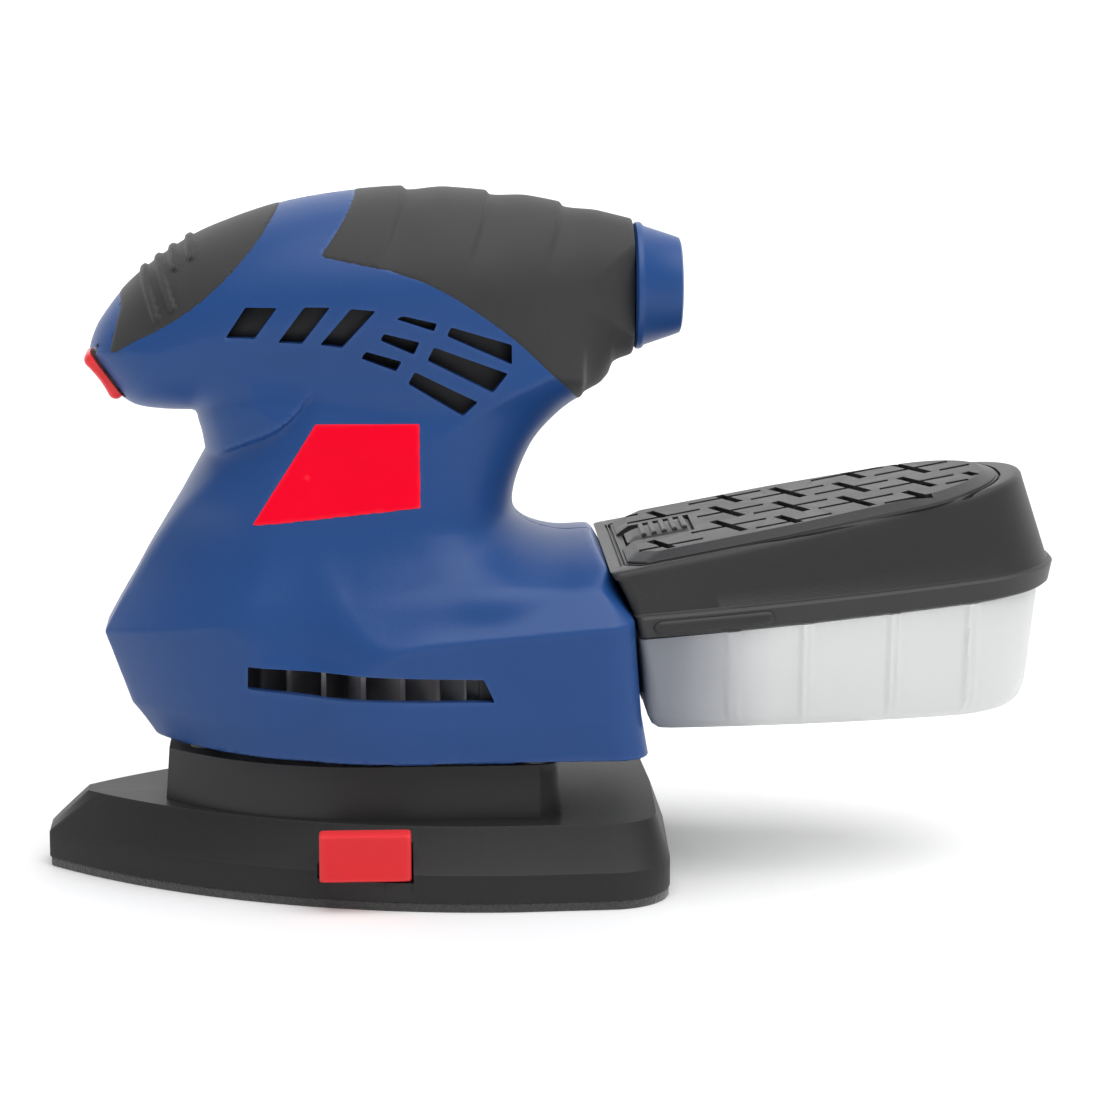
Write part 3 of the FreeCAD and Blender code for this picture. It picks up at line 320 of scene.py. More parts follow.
class Shell:
    """The sander's outer form as a field: a hull, a column and a head, joined with soft fillets."""

    wall = 2.6
    foot = SHELL_LOW[2]
    nose = -57.8
    half = 41.8
    rear = 62.9

    def __init__(self):
        nose, half, rear = self.nose, self.half, self.rear
        self.foot_line = Outline(iron((nose + 11.3, 6), (0.37 * nose, half - 10.4), (21, half - 2.7),
                                      (rear - 7, half - 3.2), (rear, half - 9.5), rear + 0.2))
        self.crease_line = Outline(iron((nose, 7), (0.43 * nose, half - 8.3), (22, half),
                                        (rear - 9.5, half - 0.8), (rear - 3.3, half - 7), rear - 3.1))
        self.shoulder_line = Outline(iron((nose + 8.5, 5), (0.36 * nose, half - 16.8), (20, half - 9.3),
                                          (rear - 16, half - 11.5), (rear - 9.6, half - 18), rear - 9.4))
        slope = [(-62, 0), (-62, 50), (-60.5, 54.4), (-52.2, 66.0), (-46.4, 75.6), (-40.5, 85.4)]
        neck = [(-34.9, 95.4), (-35.6, 99.5), (-36.7, 104.4), (-36.0, 112), (-30, 122)]
        back = [(46, 122), (51.0, 112.4), (46.0, 107.2), (42.6, 103.0), (38.0, 95.9), (34.9, 88.5), (34.0, 82.0),
                (35.6, 77.5), (39.5, 72.0), (44, 64), (48, 52)]
        self.column_line = Outline(np.vstack([slope, smooth(neck), smooth(back), [(50, 0)]]))
        top = [(-60.6, 117.1), (-59.6, 121), (-57.2, 125.6), (-50.5, 133.6), (-39.2, 141.9), (-29.1, 146.6),
               (-15.3, 150.9), (0.8, 153.3), (15.0, 153.8), (32.7, 152.3), (46.1, 149.9), (HEAD_REAR + 4, 145.2)]
        under = [(HEAD_REAR + 4, 117.9), (55.6, 114.6), (50.0, 110.8), (40, 106.5), (20, 104.6), (-10, 104.1),
                 (-36.7, 104.3), (-45, 104.6), (-50.2, 105.5), (-53.4, 107.4), (-53.6, 107.5), (-60.6, 117.1)]
        self.head_line = Outline(np.vstack([smooth(top), smooth(under)]))

    def crease(self, x):
        """The height of the crease round the hull: one line behind the nose and another along the flank."""
        front = 55.3 + 0.235 * (x + 57)
        rear = 55.4 + 0.084 * (x + 16)
        share = ease(x, -27, -1)
        return front * (1 - share) + rear * share

    def walls(self, x, y, z):
        """The wall below the crease, which leans out from the foot."""
        tall = 27.0 + 0.055 * x
        low = np.interp((z - self.foot) / tall, (0, 0.31, 1.0, 1.6), (0, 0.5, 1.0, 1.3))
        return (self.foot_line(x, y) * (1 - low) + self.crease_line(x, y) * low) * 0.97

    def hull(self, x, y, z):
        """The rear of the hull: a facet from the crease in to the shoulder, under a crowned deck."""
        shoulder = np.clip((z - self.crease(x)) / 11.6, -1, 1.7)
        sunk = 4.0 * (1 - ease(x, -12, 16))
        facet = self.crease_line(x, y) * (1 - shoulder) + self.shoulder_line(x, y) * shoulder + sunk
        deck = z - (75.7 + 0.05 * (x - 40) - 6.4 * (np.abs(y) / 31.0) ** 2.1) + sunk
        return smooth_max(facet * 0.8, deck * 0.95, 0.9)

    def column(self, x, y, z):
        """The waist over a skirt: straight slopes run from the crease up into a tall squarish form."""
        inside = -self.column_line(x, z)
        width = profile(z, (50, 57, 64, 70, 76, 81, 88, 97, 106, 122),
                        (46, 44, 40, 36, 31.8, 29.6, 28.4, 27.6, 27.4, 27.6))
        depth = profile(z, (60, 80), (14.0, 25.0))
        rim = np.maximum(1 - inside / depth, 0)
        shape = ((rim ** 2.3 + (np.abs(y) / width) ** 2.3) ** (1 / 2.3) - 1) * depth
        rise = smooth_min(z, 75.0 + 0 * z, 8.0) - self.crease(x)
        skirt = (self.crease_line(x, y) + 0.59 * rise) * 0.86
        return smooth_max(shape, skirt, 1.5 + 2.5 * ease(x, -38, -20))

    def fold(self, x, y, z):
        """How far the flank steps in under the neck's line, before it comes out again lower down."""
        line = profile(x, (-40, -34.4, -27.3, -14.9, -9.1, -4), (93.5, 95.6, 99.0, 106.0, 113.0, 119))
        below = (line - z) * 0.8
        depth = 1.5 * ease(x, -35, -24) * (1 - ease(x, -17, -7))
        return depth * ease(below, -0.2, 0.9) * (1 - ease(below, 1.0, 9.0)) * ease(np.abs(y), 3, 10)

    def head(self, x, y, z):
        """A fish-like form: its side view is the outline and its width follows the length."""
        inside = -self.head_line(x, z)
        stations = (-60.6, -57.5, -51, -42, -29, -12, 8, 28, 44, 54, HEAD_REAR)
        width = profile(x, stations, (12.4, 14.2, 17.6, 21.2, 25.6, 28.3, 29.1, 26.8, 21.0, 16.8, 14.6))
        depth = profile(x, stations, (8.0, 9.8, 13.6, 17.2, 20.6, 23.4, 24.0, 22.0, 19.2, 16.4, 14.1))
        rim = np.maximum(1 - inside / depth, 0)
        shape = np.sqrt(rim ** 2 + (y / width) ** 2)
        return np.maximum((shape - 1) * np.minimum(width, depth), x - HEAD_REAR)

    def __call__(self, x, y, z):
        spread = 0.6 + (2.4 + 6.0 * ease(x, 8, 34)) * ease(z - self.crease(x), 1, 10)
        upper = smooth_min(self.hull(x, y, z), self.column(x, y, z), spread)
        body = smooth_max(upper, self.walls(x, y, z), 0.4 + 12.0 * np.exp(-((x + 13) / 11) ** 2))
        soft = 1.2 + 9.0 * ease(x, -30, 25) + 4.0 * ease(z, 104, 112)
        return smooth_min(body, self.head(x, y, z), soft) + self.fold(x, y, z)


SHELL = Shell()

LOWER_SLOT = ((-25.3, 51.7), (26.2, 50.0), (28.6, 44.8), (-7.3, 45.3), (-25.4, 46.6))
UPPER_SLOTS = (
    ((-24.9, 130.1), (-18.0, 130.1), (-23.0, 123.2), (-29.3, 123.4)),
    ((-12.1, 130.3), (-6.5, 130.3), (-12.7, 122.2), (-17.9, 122.5)),
    ((-2.0, 130.0), (3.4, 129.5), (-4.0, 121.3), (-8.8, 122.0)),
    ((9.3, 128.4), (16.7, 126.6), (16.0, 124.9), (7.8, 127.7)),
    ((19.7, 125.8), (33.1, 121.5), (33.1, 117.1), (18.8, 123.8)),
    ((5.1, 124.5), (12.9, 122.5), (11.6, 119.7), (4.3, 123.0)),
    ((16.0, 121.4), (32.2, 115.2), (28.9, 111.0), (14.5, 118.4)),
    ((1.2, 120.5), (9.0, 118.2), (7.7, 116.0), (0.1, 118.9)),
    ((11.8, 115.9), (25.6, 109.0), (22.3, 105.9), (10.3, 113.2)),
)
LABEL = ((-10.0, 104.4), (12.8, 104.4), (12.9, 85.9), (-24.2, 81.8))
FRONT_GRIP = ((-59.0, 136.0), (-53.4, 130.0), (-54.0, 125.4), (-55.4, 119.2), (-55.6, 118.2), (-55.6, 118.2),
              (-53.6, 118.6), (-49.5, 121.1), (-43.6, 124.2), (-36.6, 128.8), (-29.5, 135.0),
              (-22.8, 142.3), (-17.0, 150.8), (-12, 160))
REAR_GRIP = ((-1.0, 165.0), (-1.0, 153.4), (-9.0, 140.6), (-9.0, 140.6), (8.7, 136.9), (19.6, 132.2), (30.5, 124.6),
             (37.3, 118.7), (47.5, 108.0), (52.0, 98.0))


LABEL_LINE = Outline(LABEL, 0.25)
FRONT_GRIP_LINE = Outline(np.vstack([smooth(FRONT_GRIP), [(-12, 175), (-59, 175)]]))
REAR_GRIP_LINE = Outline(np.vstack([smooth(REAR_GRIP), [(80, 98), (80, 175), (-1, 175)]]))


def grip_region(x, z):
    """Where the rubber lies, in the side view."""
    return np.minimum(FRONT_GRIP_LINE(x, z), REAR_GRIP_LINE(x, z))


SPOUT_MID = (SPOUT_LOW + SPOUT_HIGH) / 2
SPOUT_HALF = (15.0, 3.5)


ROCKER_TILT = math.radians(36)
ROCKER_MID = np.array((-57.5, 0, 112.2))


SCREW_SPOTS = ((-43.5, 110.0), (37.0, 108.5), (-38.5, 66.0), (45.0, 66.5), (-30.0, 97.0))


def inner_frame(x, y, z, hollow):
    """The shelf over the fan, the cradles, the upper bearing's seat and the screw bosses, inside the hollow."""
    reach = np.hypot(x, y)
    shelf = np.maximum(np.abs(z - 54.8) - 1.4, 12.5 - reach)
    cradle = np.maximum(np.minimum(np.abs(z - 76.2), np.abs(z - 93.2)) - 1.2, 24.1 - reach)
    seat = np.maximum(np.abs(z - 122.0) - 3.6, np.maximum(9.6 - reach, reach - 18))
    arm = np.maximum(np.abs(z - 122.2) - 1.2, 10.5 - reach)
    bosses = np.minimum.reduce([np.hypot(x - a, z - b) - 4.2 for a, b in SCREW_SPOTS])
    inside = np.minimum.reduce([shelf, cradle, seat, arm, bosses])
    return np.maximum(inside, hollow - 0.5)


def shell_half(side):
    """The field of one half of the shell, before its vents and holes are cut."""
    def field(x, y, z):
        y = y * side
        outer = SHELL(x, y, z)
        hollow = outer + Shell.wall
        wall = smooth_max(outer, -hollow, 0.3)
        body = np.minimum(wall, inner_frame(x, y, z, hollow))
        body = np.maximum(body, Shell.foot + 0.1 - z)
        seat = smooth_max(-(outer + 1.3), grip_region(x, z) + 1.0, 0.6)
        body = smooth_max(body, -seat, 0.4)
        plate = np.maximum(np.maximum(-(outer + 0.55), LABEL_LINE(x, z) + 0.8), 5 - y)
        body = smooth_max(body, -plate, 0.3)
        neck = np.maximum(np.hypot(y, z - BARREL_AXIS) - 8.0, HEAD_REAR - 8.0 - x)
        body = smooth_max(body, -neck, 0.3)
        return smooth_max(body, 0.06 - y, 0.5)
    return field


def rib(x, z, start, end, width, height):
    """A low round rib on the side view's line between two points."""
    (ax, az), (bx, bz) = start, end
    dx, dz = bx - ax, bz - az
    t = np.clip(((x - ax) * dx + (z - az) * dz) / (dx * dx + dz * dz), 0, 1)
    away = np.hypot(x - ax - t * dx, z - az - t * dz)
    return height * ease(width - away, 0, 0.65 * width)


GRIP_RIBS = (((-49.2, 139), (-44.7, 127.0)), ((-45.9, 141), (-41.2, 129.4)),
             ((-42.6, 143.5), (-40.9, 137.8)), ((-38.8, 146), (-37.3, 140.2)))


def front_grip_field(x, y, z):
    """A rubber skin over the nose with four low ribs across its top."""
    relief = sum(rib(x, z, a, b, 1.15, 0.8) for a, b in GRIP_RIBS)
    shell = SHELL(x, y, z)
    outer = shell - 0.15 - relief
    skin = smooth_max(outer, -(shell + 1.9), 0.3)
    return smooth_max(skin, FRONT_GRIP_LINE(x, z), 0.9)


def rear_grip_field(x, y, z):
    """A rubber sleeve over the handle: broad steps across its top and small ones below."""
    steps = 0
    for start, length in ((9.5, 9.5), (28.6, 9.5), (46.0, 9.5)):
        s = x - start - 0.38 * (z - 152)
        fall = ease(s, -0.7, 0.9) * (1 - ease(s, 1.2, length))
        steps = steps + 0.9 * fall * ease(z, 135, 150)
    for start, length in ((49.5, 5.5), (56.0, 5.0)):
        s = x - start
        fall = ease(s, -0.5, 0.7) * (1 - ease(s, 0.9, length))
        steps = steps + 0.75 * fall * (1 - ease(z, 113, 121))
    shell = SHELL(x, y, z)
    outer = shell - 0.15 + steps
    skin = smooth_max(outer, -(shell + 2.1), 0.3)
    return smooth_max(smooth_max(skin, REAR_GRIP_LINE(x, z), 0.9), x - HEAD_REAR + 0.05, 0.8)


def label_field(side):
    """A thin plain plate let into the column's flank."""
    def field(x, y, z):
        outer = SHELL(x, y, z)
        skin = smooth_max(outer - 0.12, -(outer + 2.2), 0.1)
        return np.maximum(smooth_max(skin, LABEL_LINE(x, z), 0.25), 6 - y * side)


    return field


def shade_sheet_field(side, middle=(2, 118), reach=(35.5, 14.5)):
    """A dark sheet that lies behind the vents, inside the wall: painted shade seen through the openings."""
    def field(x, y, z):
        outer = SHELL(x, y, z)
        skin = smooth_max(outer + Shell.wall + 0.15, -(outer + Shell.wall + 1.6), 0.1)
        edge = np.maximum(np.abs(x - middle[0]) - reach[0], np.abs(z - middle[1]) - reach[1])
        return np.maximum(np.maximum(skin, edge), 12.5 - y * side)
    return field


# ------------------------------------------------------------------ lofted rings
def resample(points, count, closed=True):
    """Evenly spaced points along a path."""
    p = np.asarray(points, float)
    if closed:
        p = np.vstack([p, p[:1]])
    length = np.concatenate([[0], np.cumsum(np.linalg.norm(np.diff(p, axis=0), axis=1))])
    at = np.linspace(0, length[-1], count, endpoint=not closed)
    return np.column_stack([np.interp(at, length, p[:, i]) for i in range(p.shape[1])])


def stacked(name, rings, finish, split=35, cap_first=True, cap_last=True):
    """A closed form through a stack of rings with equal counts; its ends close on their middles."""
    rings = [np.asarray(ring, float) for ring in rings]
    if cap_first:
        rings.insert(0, np.broadcast_to(rings[0].mean(0), rings[0].shape))
    if cap_last:
        rings.append(np.broadcast_to(rings[-1].mean(0), rings[-1].shape))
    grid = np.stack(rings)
    faces = sheet_faces(len(rings), grid.shape[1], not (cap_first or cap_last), True)
    piece = new_mesh(name, grid.reshape(-1, 3), faces, finish)
    outward(piece)
    mark_sharp(piece.data, split)
    return piece


def box_line(front, half, end, inset=0.0):
    """The dust box's outline seen from above: straight front, tapering flanks and a round end."""
    front, end, half = front + inset, end - inset, half - inset
    span = end - front
    side = (front + 0.80 * span, 0.70 * half)
    flank = arc((front, half), (front + 0.42 * span, 0.905 * half), side, 60)
    bend = arc(side, (front + 0.945 * span, 0.45 * half), (end, 0), 40)
    return np.vstack([flank, bend[1:]])


RING = 720


def box_ring(front, half, end, level, slope, inset=0.0, corner=1.6):
    """The box's outline as a ring of points in a plane that rises along X."""
    upper = box_line(front, half, end, inset)
    start = upper[0]
    rounded = arc((start[0], start[1] - corner), (start[0] + 0.3 * corner, start[1] - 0.3 * corner),
                  (start[0] + corner, start[1] - 0.02), 6)
    upper = np.vstack([rounded, upper[upper[:, 0] > start[0] + corner]])
    line = np.vstack([upper, upper[-2::-1] * [1, -1]])
    line = resample(line, RING)
    return np.column_stack([line, level + slope * line[:, 0]])


HULL_REAR = ((30.6, 63.1), (60.9, 59.8), (72.5, 53.5), (76.0, 52.5))


def front_at(height):
    """The X of the dust box's front at a height, just clear of the shell."""
    heights, places = zip(*HULL_REAR)
    return float(np.interp(height, heights, places)) + 0.5


RIM = 57.4
RIM_SLOPE = 0.070
TOP = 71.6
TOP_SLOPE = 0.187
RIM_LEVEL = RIM - RIM_SLOPE * front_at(RIM)
TOP_LEVEL = TOP - TOP_SLOPE * front_at(TOP)
BIN_HALF = BIN_HIGH[1]
BIN_END = BIN_HIGH[0]
BIN_RIBS = (81.4, 98.0, 117.8, 135.8)
LID_END = LID_HIGH[0]
LID_HALF = LID_HIGH[1]


def make_bin(finish):
    """The bin: a wall ring carried down, across its floor and up inside, with upright ribs on its flanks."""
    foot = BIN_LOW[2]
    low_half = BIN_HALF - 3.2
    levels = ((1.0, 0.0), (0.8, 0.0), (0.55, 0.0), (0.3, 0.0), (0.16, 0.15), (0.07, 0.9), (0.02, 2.1), (0.0, 3.6))

    def ring(share, inset, wall, lift):
        front = front_at(foot + share * (RIM - foot))
        lower = box_ring(front, low_half, BIN_END - 3.0, foot + lift, 0.0, inset + wall)
        upper = box_ring(front, BIN_HALF, BIN_END, RIM_LEVEL - 0.05, RIM_SLOPE, wall)
        out = lower * (1 - share) + upper * share
        if wall == 0:
            out = ribbed(out, share)
        return out

    def ribbed(points, share):
        height = ease(share, 0.04, 0.2)
        flank = np.abs(points[:, 1]) > 12
        lift = np.zeros(len(points))
        for x in BIN_RIBS:
            away = np.abs(points[:, 0] - x)
            lift = np.maximum(lift, 1.0 * (1 - ease(away, 0.8, 1.9)) - 0.4 * (1 - ease(away, 0.0, 0.9)))
        points = points.copy()
        points[:, 1] += np.sign(points[:, 1]) * 0.9 * lift * height * flank
        return points

    outside = [ring(share, inset, 0.0, 0.0) for share, inset in levels]
    inside = [ring(share, inset, 1.5, 1.6) for share, inset in levels[::-1]]
    floor_out = box_ring(front_at(foot), low_half, BIN_END - 3, foot, 0, 9)
    middle_out = np.broadcast_to(floor_out.mean(0), floor_out.shape)
    floor_in = floor_out + [0, 0, 1.6]
    middle_in = middle_out + [0, 0, 1.6]
    rings = outside + [floor_out, middle_out, middle_in, floor_in] + inside
    grid = np.stack(rings)
    piece = new_mesh("bin_shell", grid.reshape(-1, 3), sheet_faces(len(rings), RING, True, True), finish)
    outward(piece)
    cut_with(piece, spout_cutter(1.4, 55, 70))
    mark_sharp(piece.data, 40)
    return piece


def stadium(width, height, count=40):
    """A flat loop with half-round ends, in Y and Z."""
    radius = height / 2
    reach = width / 2 - radius
    angle = np.linspace(-math.pi / 2, math.pi / 2, count // 2)
    right = np.column_stack([reach + radius * np.cos(angle), radius * np.sin(angle)])
    return np.vstack([right, -right])


def tube_along_x(name, outer, inner, low_x, high_x, middle_z, finish, round_edge=0.4):
    """A flat tube along X with its edges eased."""
    e = round_edge
    steps = ((low_x, 0.0), (high_x - e, 0.0), (high_x - 0.3 * e, 0.3 * e), (high_x, e))
    rings = []
    for x, shrink in steps:
        loop = stadium(outer[0] - 2 * shrink, outer[1] - 2 * shrink)
        rings.append(np.column_stack([np.full(len(loop), x), loop[:, 0], loop[:, 1] + middle_z]))
    for x in (high_x, low_x):
        loop = stadium(*inner)
        rings.append(np.column_stack([np.full(len(loop), x), loop[:, 0], loop[:, 1] + middle_z]))
    return stacked(name, rings, finish, cap_first=False, cap_last=False)


def spout_cutter(grow, low_x, high_x):
    """The tunnel that the spout needs, as a solid to cut with."""
    loop = stadium(2 * SPOUT_HALF[0] + 2 * grow, 2 * SPOUT_HALF[1] + 2 * grow)
    rings = [np.column_stack([np.full(len(loop), x), loop[:, 0], loop[:, 1] + SPOUT_MID[2]])
             for x in (low_x, high_x)]
    return stacked("cutter", rings, None)


def cut_with(piece, *cutters):
    """Cut closed solids out of a piece and remove them."""
    for cutter in cutters:
        change = piece.modifiers.new("cut", "BOOLEAN")
        change.operation = "DIFFERENCE"
        change.solver = "EXACT"
        change.object = cutter
        apply_modifiers(piece)
        bpy.data.objects.remove(cutter)
    return piece


def apply_modifiers(piece):
    """Write a piece's modifiers into its mesh."""
    graph = bpy.context.evaluated_depsgraph_get()
    mesh = bpy.data.meshes.new_from_object(piece.evaluated_get(graph))
    piece.modifiers.clear()
    piece.data = mesh


def side_prism(outline, near, far, grow=0.0):
    """A side view's outline carried across, as a solid to cut with."""
    p = np.asarray(outline, float)
    rings = []
    for y in (near, far):
        middle = p.mean(0)
        spread = p + grow * (p - middle) / np.linalg.norm(p - middle, axis=1, keepdims=True) * (y == far)
        rings.append(np.column_stack([spread[:, 0], np.full(len(p), y), spread[:, 1]]))
    return stacked("cutter", rings, None)


def shell_cutters(side):
    """What is cut from a half of the shell: vents, the spout's and the rocker's openings and screw recesses."""
    near, far = side * 11.0, side * 46.0
    cutters = [side_prism(rounded(outline, 0.5), near, far) for outline in UPPER_SLOTS + (LOWER_SLOT,)]
    cutters.append(spout_cutter(0.0, 40, 75))
    loop = [(-6.5, -8.3), (-6.5, 8.3), (6.5, 8.3), (6.5, -8.3)]
    window = [np.array([rocker_place(a, b, out) for a, b in loop]) for out in (-3.0, 6.5)]
    cutters.append(stacked("cutter", window, None))
    if side > 0:
        for x, z in SCREW_SPOTS:
            angle = np.linspace(0, 2 * math.pi, 32, endpoint=False)
            circle = np.column_stack([x + 3.3 * np.cos(angle), z + 3.3 * np.sin(angle)])
            cutters.append(side_prism(circle, 7, 46))
    return cutters


def rounded(points, radius, count=5):
    """A polygon with its corners eased by quadratic curves."""
    p = np.asarray(points, float)
    before, after = np.roll(p, 1, 0) - p, np.roll(p, -1, 0) - p
    before *= radius / np.linalg.norm(before, axis=1, keepdims=True)
    after *= radius / np.linalg.norm(after, axis=1, keepdims=True)
    t = np.linspace(0, 1, count)[None, :, None]
    curve = p[:, None] + before[:, None] * (1 - t) ** 2 + after[:, None] * t ** 2
    return curve.reshape(-1, 2)


def make_lid(finish):
    """The lid: a rim band, a sloping wall and an eased top edge, hollow below."""
    gap = 0.3

    def ring(front_height, half, end, level, slope, inset=0.0):
        return box_ring(front_at(front_height), half, end, level, slope, inset)

    band = RIM_LEVEL + gap
    rings = [
        ring(RIM, LID_HALF - 1.3, LID_END - 1.3, band, RIM_SLOPE),
        ring(RIM, LID_HALF - 0.8, LID_END - 0.8, band + 0.4, RIM_SLOPE),
        ring(RIM + 4, LID_HALF, LID_END, band + 4.4, RIM_SLOPE),
        ring(RIM + 5, LID_HALF - 0.5, LID_END - 0.5, band + 5.0, RIM_SLOPE),
        ring(RIM + 5, LID_HALF - 1.1, LID_END - 1.1, band + 5.2, RIM_SLOPE),
    ]
    low = (LID_HALF - 1.3, LID_END - 1.3)
    high = (LID_HALF - 3.9, LID_END - 7.0)
    for share in (0.03, 0.35, 0.7, 1.0):
        front_height = RIM + 5 + share * (TOP - 8 - RIM)
        first = ring(front_height, low[0], low[1], band + 5.2, RIM_SLOPE)
        last = ring(front_height, high[0], high[1], TOP_LEVEL - 2.2, TOP_SLOPE)
        rings.append(first * (1 - share) + last * share)
    for drop, shrink in ((1.6, 0.15), (0.9, 0.35), (0.35, 0.75), (0.1, 1.15), (0.0, 1.6)):
        rings.append(ring(TOP - drop, high[0] - shrink, high[1] - shrink, TOP_LEVEL - drop, TOP_SLOPE))
    centre = rings[-1].mean(0)
    rings.append(rings[-1] * 0.5 + centre * 0.5)
    rings.append(np.broadcast_to(centre, rings[0].shape))
    inner_top = ring(TOP - 3, high[0] - 2.2, high[1] - 3.4, TOP_LEVEL - 4.4, TOP_SLOPE, 2.0)
    rings.append(np.broadcast_to(inner_top.mean(0), rings[0].shape))
    rings.append(inner_top)
    rings.append(ring(RIM + 5, low[0], low[1], band + 5.2, RIM_SLOPE, 2.2))
    rings.append(ring(RIM, LID_HALF - 1.3, LID_END - 1.3, band, RIM_SLOPE, 2.2))
    grid = np.stack(rings)
    piece = new_mesh("lid_shell", grid.reshape(-1, 3), sheet_faces(len(rings), RING, True, True), finish)
    outward(piece)
    cut_with(piece, tilted_block((1.8, 18.0), 8.9, (-5, 5)), groove_cutter(), strip_cutter())
    mark_sharp(piece.data, 28)
    return piece


LATCH_X = front_at(TOP) + 3.5
LATCH_TILT = math.atan(TOP_SLOPE)


def on_lid(along, across, up):
    """Points given along the lid's slope from the latch's front corner, across it and out of it."""
    along, across, up = np.broadcast_arrays(along, across, up)
    c, s = math.cos(LATCH_TILT), math.sin(LATCH_TILT)
    rise = TOP_LEVEL + TOP_SLOPE * LATCH_X
    return np.stack([LATCH_X + along * c - up * s, across, rise + along * s + up * c], -1)


def tilted_block(along, half, up, finish=None, name="cutter"):
    """A plain block in the lid's slope."""
    (a, b), (low, high) = along, up
    loop = [(a, -half), (b, -half), (b, half), (a, half)]
    rings = [np.array([on_lid(x, y, level) for x, y in loop]) for level in (low, high)]
    return stacked(name, rings, finish, split=30)


def over_lid(x, y, up):
    """Points over the lid's slope, given by their X and Y on it and their height off it."""
    c, s = math.cos(LATCH_TILT), math.sin(LATCH_TILT)
    x, y, up = np.broadcast_arrays(np.asarray(x, float), y, up)
    return np.stack([x - up * s, y, TOP_LEVEL + TOP_SLOPE * x + up * c], -1)


def strip_cutter():
    """The narrow groove across the lid's front strip."""
    loop = [(56.9, -26.0), (57.3, -26.0), (57.3, 26.0), (56.9, 26.0)]
    return stacked("cutter", [np.array([over_lid(a, b, up) for a, b in loop]) for up in (-0.6, 3.0)], None)


def plate_loop(inset, count=300):
    """The raised plate's outline: cut front corners, tapering sides and a round end."""
    front, end = 58.6 + inset, 143.8 - inset
    wide, narrow = 29.4 - inset, 24.6 - 0.9 * inset
    side = [(front, wide - 5.0), (front + 4.0, wide), (front + 34, wide - 0.6), (end - 19, narrow + 0.6)]
    bend = arc((end - 15, narrow - 0.6), (end - 4.0, 0.60 * narrow), (end, 0), 24)
    upper = np.vstack([side, bend])
    return resample(np.vstack([upper, upper[-2::-1] * [1, -1]]), count)


def plate_ring(inset, up):
    line = plate_loop(inset)
    return over_lid(line[:, 0], line[:, 1], up)


def groove_cutter():
    """The thin groove in the lid round its raised plate."""
    rings = [plate_ring(-1.1, -0.8), plate_ring(-1.1, 3.0), plate_ring(-0.5, 3.0), plate_ring(-0.5, -0.8)]
    return stacked("cutter", rings, None, cap_first=False, cap_last=False)


def slit(start, end, width):
    """A slit between two points of the plate, kept inside its flat top, as a thin block to cut with."""
    t = np.linspace(0, 1, 60)
    x = start[0] + t * (end[0] - start[0])
    y = start[1] + t * (end[1] - start[1])
    limit = np.interp(x, (61, 64, 96, 126, 134, 139), (22.5, 25.6, 25.2, 22.4, 17.5, 9.0))
    keep = (np.abs(y) < limit) & (x > 61.5) & (x < 139.5) & ((x > 77.0) | (np.abs(y) > 11.5))
    if keep.sum() < 12:
        return None
    x, y = x[keep][[0, -1]], y[keep][[0, -1]]
    along = np.array([x[1] - x[0], y[1] - y[0]])
    across = np.array([-along[1], along[0]]) / np.linalg.norm(along) * width / 2
    loop = [(x[0] + across[0], y[0] + across[1]), (x[0] - across[0], y[0] - across[1]),
            (x[1] - across[0], y[1] - across[1]), (x[1] + across[0], y[1] + across[1])]
    return stacked("cutter", [np.array([over_lid(a, b, up) for a, b in loop]) for up in (0.2, 4.0)], None)


def slit_cutters():
    """Crossing slits in staggered rows: a long one along the plate and a slanting one over it."""
    cutters = []
    for row in range(6):
        y = -21.2 + 8.7 * row
        for column in range(-1, 3):
            x = 67.6 + 14.3 * (row % 2) + 28.6 * column + 0.6 * row
            cutters.append(slit((x - 8.4, y - 0.6), (x + 8.4, y - 0.6), 1.9))
            cutters.append(slit((x - 2.7, y + 8.3), (x + 2.7, y - 9.3), 2.0))
    return [cutter for cutter in cutters if cutter]


def make_plate(finish):
    """The raised plate: bevelled sides, a flat top with rows of slits, and a notch round the latch."""
    rings = [plate_ring(0.0, -0.4), plate_ring(0.0, 0.3), plate_ring(0.15, 0.5), plate_ring(2.7, 1.75),
             plate_ring(3.0, 1.85)]
    piece = stacked("lid_top_plate", rings, finish, split=30)
    loop = [(50, -9.6), (75.2, -9.6), (75.2, 9.6), (50, 9.6)]
    notch = stacked("cutter", [np.array([over_lid(a, b, up) for a, b in loop]) for up in (-3.0, 6.0)], None)
    cut_with(piece, notch, *slit_cutters())
    mark_sharp(piece.data, 12)
    return piece


